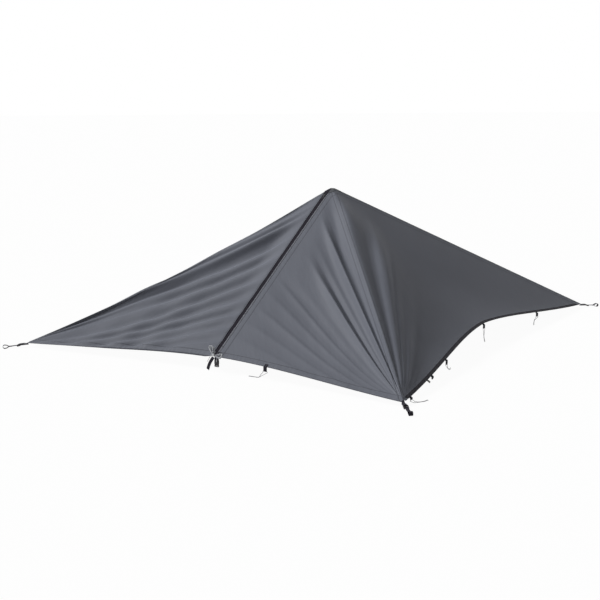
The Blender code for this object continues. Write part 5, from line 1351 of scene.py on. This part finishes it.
for key in ("right", "back_right"):
    tape = add_piece(f"{key}_edge_tape", binding_mesh(FACES[key]), "canopy", f"{key}_binding")
    thicken(tape, BINDING, 0.0)
    STRAPS.append(tape)
straight = np.linalg.norm(CORNERS["right"] - CORNERS["front"])
print("edge tape", round(float(straight), 2), "m long at least")

# %% [markdown]
# ## The zip
# The zip has two woven tapes, each with a spiral of nylon sewn along its
# edge. The spirals hook into each other behind the slider. One turn of the
# spiral is modelled: a ring is squeezed, leaned over, and given a thicker
# head where it hooks in. It is then repeated along the tape with an array,
# at a pitch of 2 mm, a little coarser than the real 1.4 mm.

# %% Zip tapes
TAPE_THICKNESS = 0.0009
TAPE_LIFT = -2 * TOUCH_GAP - TAPE_THICKNESS / 2
TAPE_SECTION = (
    (0.0001, 0), (0.0030, 0), (0.0060, 0.6), (0.0095, 1.0), (0.0120, 0.3), (0.0165, 0))
HALF_SLIDER = 0.014
SLIDER_FROM_TOP = CAP_ZIP_RIM + HALF_SLIDER + 2 * RUNNING_GAP
COIL_START = SLIDER_FROM_TOP - HALF_SLIDER - RUNNING_GAP
SLIDER_END = SLIDER_FROM_TOP + HALF_SLIDER + RUNNING_GAP
TAPE_END = ZIP_LENGTH - 0.006
# The side, body and start of each half: the slider stays on the left one when
# the door swings, so the door's own half starts below the slider
ZIP_PARTS = {"left": (-1, "canopy", COIL_START), "door": (1, "door", SLIDER_END)}
TAPES = []
for key, (side, body, start) in ZIP_PARTS.items():
    distances = np.linspace(start, TAPE_END, 240)
    ripple = 0.0004 * np.sin(distances * 190 + side) * np.sin(distances * 61)
    grid = np.array([
        [zip_point(d, side * across, TAPE_LIFT + lift * r) for across, lift in TAPE_SECTION]
        for d, r in zip(distances, ripple)])
    mesh = strip_mesh(f"tape_{key}", grid, FACE_NORMAL)
    tape = add_piece(f"zip_tape_{key}_weave", mesh, body, f"zip_tape_{key}")
    thicken(tape, TAPE_THICKNESS * 0.8, 0.0)
    TAPES.append(tape)
print("tapes", round(float(TAPE_END - COIL_START), 3), "m")

# %% One turn of the spiral, and its array
COIL_PITCH = 0.002


def tooth_mesh():
    """A squeezed ring of 40 faces, with a thicker head on one side."""
    bpy.ops.mesh.primitive_torus_add(
        major_segments=10, minor_segments=4, major_radius=0.0012, minor_radius=0.00036)
    tooth = bpy.context.object
    bpy.ops.object.mode_set(mode="EDIT")
    bpy.ops.mesh.select_all(action="SELECT")
    bpy.ops.transform.resize(value=(0.72, 1.10, 1.0), center_override=(0, 0, 0))
    bpy.ops.transform.rotate(value=math.radians(14), orient_axis="Y", center_override=(0, 0, 0))
    bpy.ops.mesh.select_all(action="DESELECT")
    bpy.ops.object.mode_set(mode="OBJECT")
    for vertex in tooth.data.vertices:
        vertex.select = vertex.co.x < -0.0008
    bpy.ops.object.mode_set(mode="EDIT")
    bpy.ops.mesh.select_mode(type="VERT")
    bpy.ops.transform.resize(value=(1.0, 1.15, 1.35), center_override=(-0.0009, 0, 0))
    bpy.ops.object.mode_set(mode="OBJECT")
    mesh = tooth.data
    bpy.data.objects.remove(tooth)
    return mesh


tooth = tooth_mesh()
COILS = []
for key, (side, body, start) in ZIP_PARTS.items():
    mesh = tooth.copy()
    begin = start + 0.0012 + (COIL_PITCH / 2 if side > 0 else 0.0)
    turned = Matrix((ZIP_ACROSS * side, -FACE_NORMAL, ZIP_DOWN)).transposed().to_4x4()
    turned.translation = zip_point(begin, side * 0.0010, TAPE_LIFT)
    mesh.transform(turned)
    coil = add_piece(f"zip_coil_{key}", mesh, body, f"zip_tape_{key}")
    repeat = coil.modifiers.new("turns", "ARRAY")
    repeat.count = int((TAPE_END - begin - 0.001) / COIL_PITCH)
    repeat.use_relative_offset = False
    repeat.use_constant_offset = True
    repeat.constant_offset_displace = ZIP_DOWN * COIL_PITCH
    print(coil.name, repeat.count, "turns")
    apply_modifiers(coil)
    bpy.ops.object.mode_set(mode="EDIT")
    bpy.ops.mesh.select_all(action="SELECT")
    bpy.ops.mesh.normals_make_consistent(inside=False)
    bpy.ops.object.mode_set(mode="OBJECT")
    smooth(coil, 60)
    COILS.append(coil)

# %% [markdown]
# ### Rain strip beside the zip
# Water would run through a bare zip, so the door's cloth is folded to a
# narrow rounded lip along it. From the camera the lip is the thin bright
# line on the right of the black stripe. Its colour is lighter than the
# cloth it is folded from, a painted highlight.

# %% Folded lip
lip_distances = np.linspace(SLIDER_END + 0.004, ZIP_LENGTH - 0.040, 200)
LIP_SECTION = (
    (0.0220, 0.0014), (0.0185, 0.0024), (0.0160, 0.0030),
    (0.0143, 0.0028), (0.0137, 0.0020), (0.0141, 0.0014))
LIP_THICKNESS = 0.0004
lip_wave = 0.0004 * np.sin(lip_distances * 83) + 0.0003 * np.sin(lip_distances * 151 + 1)
grid = np.array([
    [
        zip_point(d, across + abs(w) * 0.5, lift + w * (lift > 0.0021))
        for across, lift in LIP_SECTION]
    for d, w in zip(lip_distances, lip_wave)])
lip = add_piece("zip_rain_lip", strip_mesh("lip", grid, FACE_NORMAL), "door")
thicken(lip, LIP_THICKNESS, 0.0)
print("lip", round(float(lip_distances[-1] - lip_distances[0]), 2), "m")

# %% [markdown]
# ## Moulded and metal parts
# The buckles, the slider and the pole keep the shape of their solids. Real
# mouldings never have a knife-sharp edge, though, because plastic shrinks
# and dies are rounded. Each one is copied, its flat triangles are merged
# back to faces, and a narrow bevel rounds its edges so that they catch the
# light.

# %% Rounded copies of the rigid solids
def rounded_copy(node, width):
    """A copy of a solid with merged faces and bevelled edges."""
    source = bpy.data.objects[node]
    mesh = source.data.copy()
    mesh.transform(source.matrix_world)
    work = bmesh.new()
    work.from_mesh(mesh)
    bmesh.ops.remove_doubles(work, verts=work.verts, dist=0.00002)
    bmesh.ops.dissolve_limit(work, angle_limit=math.radians(2), verts=work.verts, edges=work.edges)
    bmesh.ops.recalc_face_normals(work, faces=work.faces)
    work.to_mesh(mesh)
    work.free()
    mesh.materials.clear()
    piece = add_piece(f"{node}_rounded", mesh, body_of(source)[0], node)
    soft = piece.modifiers.new("rounded edges", "BEVEL")
    soft.width = width
    soft.segments = 3
    soft.angle_limit = math.radians(32)
    soft.use_clamp_overlap = True
    apply_modifiers(piece)
    smooth(piece, 35)
    return piece


ROUNDING = {
    "foot_buckle_socket": 0.0006, "foot_buckle_plug": 0.0005, "zip_slider": 0.0003,
    "zip_pull": 0.0003, "zip_top_stop": 0.0003, "pole_clamp_lever": 0.0006,
    "pole_clamp_collar": 0.0005, "pole_foot": 0.0008, "pole_tip": 0.0003, "peak_eyelet": 0.0002,
    **{f"{corner}_ladder_lock": 0.0005 for corner in CORNERS},
}
HARD_PIECES = {node: rounded_copy(node, width) for node, width in ROUNDING.items()}
print("rounded:", len(HARD_PIECES), "solids")

# %% [markdown]
# ## Colours and a small helper for node trees
# A colour is written as the hex code that an eye reads off a screen. The
# renderer adds up light, so the code is turned into linear values first.
# Each finish below is a tree of nodes, and one helper adds a node with its
# settings, its fixed values and its links.

# %% Colours and nodes
def linear(code):
    """Linear colour from a hex code."""
    channels = [int(code[i:i + 2], 16) / 255 for i in (1, 3, 5)]
    return (*(c / 12.92 if c <= 0.04045 else ((c + 0.055) / 1.055) ** 2.4 for c in channels), 1.0)


def add_node(tree, kind, inputs=None, **settings):
    """Add a node; inputs are sockets to link or plain values, by name or number."""
    node = tree.nodes.new("ShaderNode" + kind)
    for key, value in settings.items():
        setattr(node, key, value)
    for key, value in (inputs or {}).items():
        if isinstance(value, bpy.types.NodeSocket):
            tree.links.new(value, node.inputs[key])
        else:
            node.inputs[key].default_value = value
    return node


def sum_up(tree, operation, first, second, third=None):
    """A calculation between two values or sockets."""
    inputs = {0: first, 1: second}
    if third is not None:
        inputs[2] = third
    return add_node(tree, "Math", inputs, operation=operation).outputs[0]


def times(tree, first, second):
    return sum_up(tree, "MULTIPLY", first, second)


def sine_of(tree, value):
    return sum_up(tree, "SINE", value, 0.0)


def convert(tree, value, low, high, start, end, kind="LINEAR"):
    """Turn a value between low and high into one between start and end."""
    inputs = {0: value, 1: low, 2: high, 3: start, 4: end}
    return add_node(tree, "MapRange", inputs, interpolation_type=kind).outputs[0]


def noise(tree, place, scale, detail, roughness=0.5):
    inputs = {"Vector": place, "Scale": scale, "Detail": detail, "Roughness": roughness}
    return add_node(tree, "TexNoise", inputs).outputs["Fac"]


def split(tree, vector):
    return add_node(tree, "SeparateXYZ", {0: vector}).outputs


def tinted(tree, colour, factor):
    return add_node(tree, "VectorMath", {0: colour, 3: factor}, operation="SCALE").outputs[0]


def blend_colours(tree, factor, first, second):
    return add_node(tree, "Mix", {0: factor, 6: first, 7: second}, data_type="RGBA").outputs[2]


def new_finish(name):
    """An empty material: its tree, and its surface node joined to the output."""
    material = bpy.data.materials.new(name)
    material.use_nodes = True
    tree = material.node_tree
    tree.nodes.clear()
    output = tree.nodes.new("ShaderNodeOutputMaterial")
    surface = add_node(tree, "BsdfPrincipled")
    tree.links.new(surface.outputs[0], output.inputs[0])
    return material, tree, surface


def set_surface(tree, surface, **values):
    """Set or link sockets of the surface node by name, with _ for spaces."""
    for key, value in values.items():
        socket = surface.inputs[key.replace("_", " ")]
        if isinstance(value, bpy.types.NodeSocket):
            tree.links.new(value, socket)
        else:
            socket.default_value = value


def bumps(tree, *layers):
    """Bump nodes in a chain, each with a height socket and its depth in metres."""
    normal = None
    for height, depth in layers:
        inputs = {"Strength": 1.0, "Distance": depth, "Height": height}
        if normal:
            inputs["Normal"] = normal
        normal = add_node(tree, "Bump", inputs).outputs[0]
    return normal


def finish(material, *pieces):
    for piece in pieces:
        piece.data.materials.clear()
        piece.data.materials.append(material)


print("mid grey", [round(v, 3) for v in linear("#6a6c72")])

# %% [markdown]
# ## Coated polyester cloth
# The faces are plain woven polyester with a thin coat inside, which makes
# the cloth a little stiff and gives it a faint satin shine. Four things
# tell the eye that it is cloth: the fine weave, soft crumples that never
# repeat, small puckers that start at every seam, and rows of stitches. The
# threads are 0.3 mm wide and drawn 1.2 mm wide, or they would flicker.

# %% Cloth
CLOTH_COLOUR = "#6a6d76"
CAP_COLOUR = "#505256"
THREAD_COLOUR = "#3c3d42"


def stitch_rows(tree, distance, run, rows):
    """Dashes 3 mm long at given distances from a seam."""
    dash = sum_up(tree, "FRACT", times(tree, run, 230.0), 0.0)
    dash = sum_up(tree, "LESS_THAN", dash, 0.68)
    total = 0.0
    for row in rows:
        near = sum_up(tree, "COMPARE", distance, row, 0.0007)
        total = sum_up(tree, "MAXIMUM", total, times(tree, near, dash))
    return total


def cloth_finish(name, code, hem_rows, ridge_rows, far_rows):
    """Cloth with rows of stitches at distances from its hem, ridge and far seam."""
    material, tree, surface = new_finish(name)
    weave = add_node(tree, "UVMap", uv_map="weave").outputs[0]
    distance = split(tree, add_node(tree, "Attribute", attribute_name="edges").outputs["Vector"])
    run = split(tree, add_node(tree, "Attribute", attribute_name="run").outputs["Vector"])

    # Threads over and under each other, with small thick places in the yarn
    yarn = {"Vector": weave, "Scale": 130.0, "Distortion": 0.4, "Detail Scale": 2.0}
    waves = [
        add_node(tree, "TexWave", yarn, bands_direction=direction).outputs["Fac"]
        for direction in ("X", "Y")]
    threads = times(tree, *waves)

    # Soft crumples, longer along the ridge than across it
    stretched = add_node(tree, "Mapping", {"Vector": weave, "Scale": (2.6, 9.0, 1.0)}).outputs[0]
    crumple = noise(tree, stretched, 1.0, 3.0)

    # Puckers: short waves along each seam that fade away from it
    puckers = 0.0
    for index, reach in ((0, 0.075), (1, 0.050), (2, 0.085)):
        inputs = {0: run[index], 1: times(tree, distance[index], 0.22)}
        along = add_node(tree, "CombineXYZ", inputs).outputs[0]
        pucker = noise(tree, along, 34.0, 1.5, 0.45)
        fade = convert(tree, distance[index], 0.0, reach, 1.0, 0.0, "SMOOTHSTEP")
        puckers = sum_up(tree, "ADD", puckers, times(tree, pucker, fade))

    # Doubled cloth at the seams stands up by its own thickness, and each row
    # of stitches pulls it into a furrow, which the colour darkens as painted shade
    bands = stitches = furrows_and_painted_shade = 0.0
    for index, rows in enumerate((hem_rows, ridge_rows, far_rows)):
        if not rows:
            continue
        edge = max(rows) + 0.002
        step = convert(tree, distance[index], edge, edge + 0.0015, 1.0, 0.0)
        bands = sum_up(tree, "MAXIMUM", bands, step)
        row_stitches = stitch_rows(tree, distance[index], run[index], rows)
        stitches = sum_up(tree, "MAXIMUM", stitches, row_stitches)
        for row in rows:
            away = sum_up(tree, "SUBTRACT", distance[index], row)
            away = sum_up(tree, "ABSOLUTE", away, 0.0)
            furrow = convert(tree, away, 0.0, 0.0045, 1.0, 0.0, "SMOOTHSTEP")
            furrows_and_painted_shade = sum_up(tree, "MAXIMUM", furrows_and_painted_shade, furrow)

    tint = convert(tree, noise(tree, weave, 2.2, 2.0), 0.3, 0.7, 0.965, 1.03)
    # Painted shade: the colour is up to 30 % darker along each stitch furrow
    shade = times(tree, tint, sum_up(tree, "MULTIPLY_ADD", furrows_and_painted_shade, -0.30, 1.0))
    plain = tinted(tree, linear(code)[:3], shade)
    normal = bumps(
        tree, (crumple, 0.0045), (puckers, 0.0030), (bands, 0.0005), (furrows_and_painted_shade, -0.0010),
        (threads, 0.00005), (stitches, 0.0003))
    set_surface(
        tree, surface, Base_Color=blend_colours(tree, stitches, plain, linear(THREAD_COLOUR)),
        Roughness=convert(tree, threads, 0.0, 1.0, 0.60, 0.50), Normal=normal,
        Specular_IOR_Level=0.12, Sheen_Weight=0.02, Sheen_Roughness=0.5)
    return material


# Each finish has its name, its colour and the rows of stitches along the
# hem, the ridge and the far seam, in metres from them
# The rows 3 mm from the hem and 50 mm from the taped faces' far seam mainly draw dark lines by the
# painted shade of their furrows, under the hem's edge and along a fold
HEM_ROWS = (0.003, 0.038)
RIDGE_ROWS = (0.016,)
plain_cloth = cloth_finish(
    "coated polyester cloth", CLOTH_COLOUR, HEM_ROWS, RIDGE_ROWS, (0.006,))
door_cloth = cloth_finish(
    "coated polyester cloth beside the zip", CLOTH_COLOUR, HEM_ROWS, RIDGE_ROWS, (0.012, 0.045))
taped_cloth = cloth_finish(
    "coated polyester cloth, taped edge", CLOTH_COLOUR, (), RIDGE_ROWS, (0.003, 0.016, 0.050))
cap_cloth = cloth_finish("doubled cloth at the peak", CAP_COLOUR, (), (), ())
finish(plain_cloth, CLOTH_PIECES["left"], CLOTH_PIECES["back_left"], *RIDGE_SEAMS)
finish(cap_cloth, cap, patch)
finish(door_cloth, CLOTH_PIECES["door"])
finish(taped_cloth, CLOTH_PIECES["right"], CLOTH_PIECES["back_right"])
print("cloth finishes: 4")

# %% [markdown]
# ## Woven black tapes
# Webbing shows two plaited rows of ribs with a hard selvedge on each side.
# Edge tape has fine cross ribs, and zip tape a fine twill. All three are
# black polyester, so the eye reads them by their ribs and their sheen and
# hardly by their colour. The pitch, slant and depth of the ribs are what
# changes from one to the next.

# %% Webbing, edge tape and zip tape
def woven_finish(name, code, ribs, slant, depth, roughness, rows=(), stitch_code="#17161a"):
    """A narrow woven tape; ribs per metre along it, slanted by plaiting."""
    material, tree, surface = new_finish(name)
    uv = add_node(tree, "UVMap", uv_map="weave").outputs[0]
    place = split(tree, uv)
    plait = sum_up(tree, "PINGPONG", place[0], 0.0035)
    run = sum_up(tree, "ADD", place[1], times(tree, plait, slant))
    rib = sine_of(tree, times(tree, run, ribs * 2 * math.pi))
    warp = sine_of(tree, times(tree, place[0], 1400.0))
    height = sum_up(tree, "ADD", rib, times(tree, warp, 0.5))
    tint = convert(tree, noise(tree, uv, 90.0, 3.0), 0.3, 0.7, 0.8, 1.3)
    colour = tinted(tree, linear(code)[:3], tint)
    if rows:
        stitches = stitch_rows(tree, place[0], place[1], rows)
        colour = blend_colours(tree, stitches, colour, linear(stitch_code))
        height = sum_up(tree, "ADD", height, times(tree, stitches, 2.0))
    set_surface(
        tree, surface, Base_Color=colour, Roughness=roughness, Normal=bumps(tree, (height, depth)),
        Specular_IOR_Level=0.10, Sheen_Weight=0.02, Sheen_Roughness=0.4)
    return material


webbing_finish = woven_finish(
    "black polyester webbing", "#2a2831", 420.0, 0.9, 0.00016, 0.62, (0.0025, 0.0175), "#1b1a1f")
edge_finish = woven_finish(
    "ribbed edge tape", "#26252b", 560.0, 0.0, 0.00009, 0.66, (0.0035, 0.0215), "#141317")
tape_finish = woven_finish(
    "woven zip tape", "#1b1822", 700.0, 0.5, 0.00006, 0.66, (0.0110,), "#121115")
label_finish = woven_finish("plain woven label tape", "#b9b9b6", 800.0, 0.0, 0.00005, 0.7)
# The lip is the door's own cloth; its lighter colour is a painted highlight
lip_painted_highlight_finish = woven_finish(
    "folded cloth lip", "#7b7d84", 900.0, 0.0, 0.00004, 0.5, (0.0015,), "#3c3d42")
for strap in STRAPS:
    finish(edge_finish if "edge_tape" in strap.name else webbing_finish, strap)
finish(tape_finish, *TAPES, cover_tape)
finish(label_finish, label)
finish(lip_painted_highlight_finish, lip)
print("tape finishes: 4 and the lip")

# %% [markdown]
# ## Braided cord
# The tie cords are braided from light grey yarn. The guy line has the same
# braid with a reflective yarn in it, which looks nearly white. Two sets of
# slanted waves cross in the UV map, one for each direction in which the
# yarns run round the core.

# %% Cord
def braid_finish(name, code, tracer_code, tracer, roughness):
    """Slanted yarns, with a tracer's colour on a share of every turn."""
    material, tree, surface = new_finish(name)
    place = split(tree, add_node(tree, "UVMap", uv_map="along").outputs[0])
    waves = []
    for lean in (1.0, -1.0):
        slanted = sum_up(tree, "ADD", times(tree, place[0], lean), place[1])
        waves.append(sine_of(tree, times(tree, slanted, 3600.0)))
    yarns = sum_up(tree, "MAXIMUM", *waves)
    band = times(tree, sum_up(tree, "ADD", place[0], place[1]), 130.0)
    traced = sum_up(tree, "LESS_THAN", sum_up(tree, "FRACT", band, 0.0), tracer)
    both = blend_colours(tree, traced, linear(code), linear(tracer_code))
    # Painted shade: the colour falls to 0.72 between the yarns, where the bump dips
    colour = tinted(tree, both, convert(tree, yarns, -0.4, 0.8, 0.72, 1.06))
    set_surface(
        tree, surface, Base_Color=colour, Roughness=roughness, Normal=bumps(tree, (yarns, 0.00018)),
        Specular_IOR_Level=0.3, Sheen_Weight=0.3)
    return material


tie_finish = braid_finish("braided grey cord", "#86868d", "#4a4a50", 0.26, 0.72)
# The knots are the same grey cord, drawn darker as painted shade of their tight turns
knot_painted_shade_finish = braid_finish(
    "braided cord drawn tight in a knot", "#4f4f56", "#2c2c31", 0.30, 0.78)
guy_finish = braid_finish("braided reflective cord", "#c0c2c8", "#eceef1", 0.40, 0.50)
wrap_finish = braid_finish("reflective cord, wound", "#c4c7ca", "#eceef0", 0.55, 0.42)
finish(guy_finish, guy_line)
finish(wrap_finish, guy_wrap)
for name, (parts, _, _) in CORDS.items():
    finish(tie_finish, *[part for part, _ in parts])
    finish(knot_painted_shade_finish, bpy.data.objects[f"{name}_knot"])
print("cord finishes: 4")

# %% [markdown]
# ## Plastics, metals and rubber
# A moulded part has a fine grain from its mould and is a little worn in
# places, and metal shows its making too: drawn tubes have lines along them,
# and a cast slider is lacquered. All of these come from one function, with
# the scale of the pattern and its depth as the only differences. The pattern
# follows object coordinates, so that it has the same size everywhere.

# %% Hard finishes
def hard_finish(
        name, code, roughness, metallic, grain, depth, stretch=(1.0, 1.0, 1.0), coat=0.0):
    """A grained surface, a little worn in places."""
    material, tree, surface = new_finish(name)
    place = add_node(tree, "TexCoord").outputs["Object"]
    place = add_node(tree, "Mapping", {"Vector": place, "Scale": stretch}).outputs[0]
    fine = noise(tree, place, grain, 4.0)
    worn = noise(tree, place, grain / 12, 2.0)
    colour = tinted(tree, linear(code)[:3], convert(tree, worn, 0.3, 0.7, 0.9, 1.12))
    rough = convert(tree, worn, 0.3, 0.7, roughness * 0.8, roughness * 1.25)
    set_surface(
        tree, surface, Base_Color=colour, Roughness=rough, Metallic=metallic, Coat_Weight=coat,
        Coat_Roughness=0.2, Normal=bumps(tree, (fine, depth)))
    return material


HARD = {
    "moulded": hard_finish("moulded black acetal", "#232226", 0.42, 0.0, 1800.0, 0.00006),
    "coil": hard_finish("black nylon coil", "#131116", 0.50, 0.0, 2400.0, 0.00003),
    "slider": hard_finish("black lacquered zinc", "#3a393f", 0.34, 1.0, 900.0, 0.00003, coat=0.5),
    "tube": hard_finish(
        "anodised drawn aluminium", "#c9cccf", 0.30, 1.0, 900.0, 0.00002, (1.0, 1.0, 0.02)),
    "nickel": hard_finish("nickel-plated steel", "#c6c4bf", 0.22, 1.0, 700.0, 0.00002),
    "rubber": hard_finish("black rubber", "#201f20", 0.85, 0.0, 1200.0, 0.00012),
}
HARD_FOR = {
    "zip_slider": "slider", "zip_top_stop": "slider", "pole_upper_tube": "tube",
    "pole_lower_tube": "tube", "peak_eyelet": "nickel", "pole_clamp_pin": "nickel",
    "pole_foot": "rubber",
}
for node in ("pole_upper_tube", "pole_lower_tube", "pole_clamp_pin"):
    HARD_PIECES[node] = bpy.data.objects[node]
for node, piece in HARD_PIECES.items():
    finish(HARD[HARD_FOR.get(node, "moulded")], piece)
finish(HARD["coil"], *COILS)
print("hard finishes:", len(HARD))

# %% [markdown]
# ## Floor and light
# The photograph was taken on white. The floor is pale, keeps the tarp's
# soft shadow, and glows a little so that it comes out white. The light is
# one broad lamp from behind on the left, about 43 degrees up, and an even
# sky. That lights the two left faces flatly and leaves the right ones in
# shade, as in the photograph. The slant of the lamp brings out the folds.

# %% Floor, lamp and sky
WHITE = (1.0, 1.0, 1.0, 1.0)
FLOOR_SIZE = 60.0
FLOOR_GLOW = 0.96
LAMP_DIRECTION = (-0.645, 0.345, 0.682)


def make_floor(size):
    mesh = bpy.data.meshes.new("floor")
    corners = [(-size, -size, 0), (size, -size, 0), (size, size, 0), (-size, size, 0)]
    mesh.from_pydata(corners, [], [(0, 1, 2, 3)])
    floor = new_object("floor", mesh)
    material, tree, surface = new_finish("pale studio floor")
    set_surface(
        tree, surface, Base_Color=linear("#f2f2f2"), Roughness=0.9, Specular_IOR_Level=0.1)
    glow = add_node(tree, "Emission", {0: WHITE, 1: 1.0})
    seen = add_node(tree, "LightPath").outputs["Is Camera Ray"]
    share = times(tree, seen, FLOOR_GLOW)
    both = add_node(tree, "MixShader", {0: share, 1: surface.outputs[0], 2: glow.outputs[0]})
    output = next(node for node in tree.nodes if node.type == "OUTPUT_MATERIAL")
    tree.links.new(both.outputs[0], output.inputs[0])
    mesh.materials.append(material)


def make_lamp(direction, strength, spread):
    data = bpy.data.lights.new("key", "SUN")
    data.energy = strength
    data.angle = math.radians(spread)
    lamp = new_object("key", data)
    lamp.rotation_euler = Vector(direction).to_track_quat("Z", "Y").to_euler()


def make_sky(level):
    """White to the camera and to mirror rays, softer as a light."""
    world = bpy.data.worlds.new("sky")
    world.use_nodes = True
    bpy.context.scene.world = world
    tree = world.node_tree
    tree.nodes.clear()
    path = add_node(tree, "LightPath").outputs
    seen = sum_up(tree, "MAXIMUM", path["Is Camera Ray"], path["Is Glossy Ray"])
    seen = sum_up(tree, "MAXIMUM", seen, path["Is Transmission Ray"])
    strength = add_node(tree, "Mix", {0: seen, 2: level, 3: 1.0}, data_type="FLOAT").outputs[0]
    sky = add_node(tree, "Background", {0: WHITE, 1: strength})
    output = tree.nodes.new("ShaderNodeOutputWorld")
    tree.links.new(sky.outputs[0], output.inputs[0])


make_floor(FLOOR_SIZE)
make_lamp(LAMP_DIRECTION, strength=3.05, spread=20.0)
make_sky(level=0.10)
bpy.context.scene.view_settings.view_transform = "Standard"
print("lamp", round(math.degrees(math.asin(LAMP_DIRECTION[2]))), "degrees up")
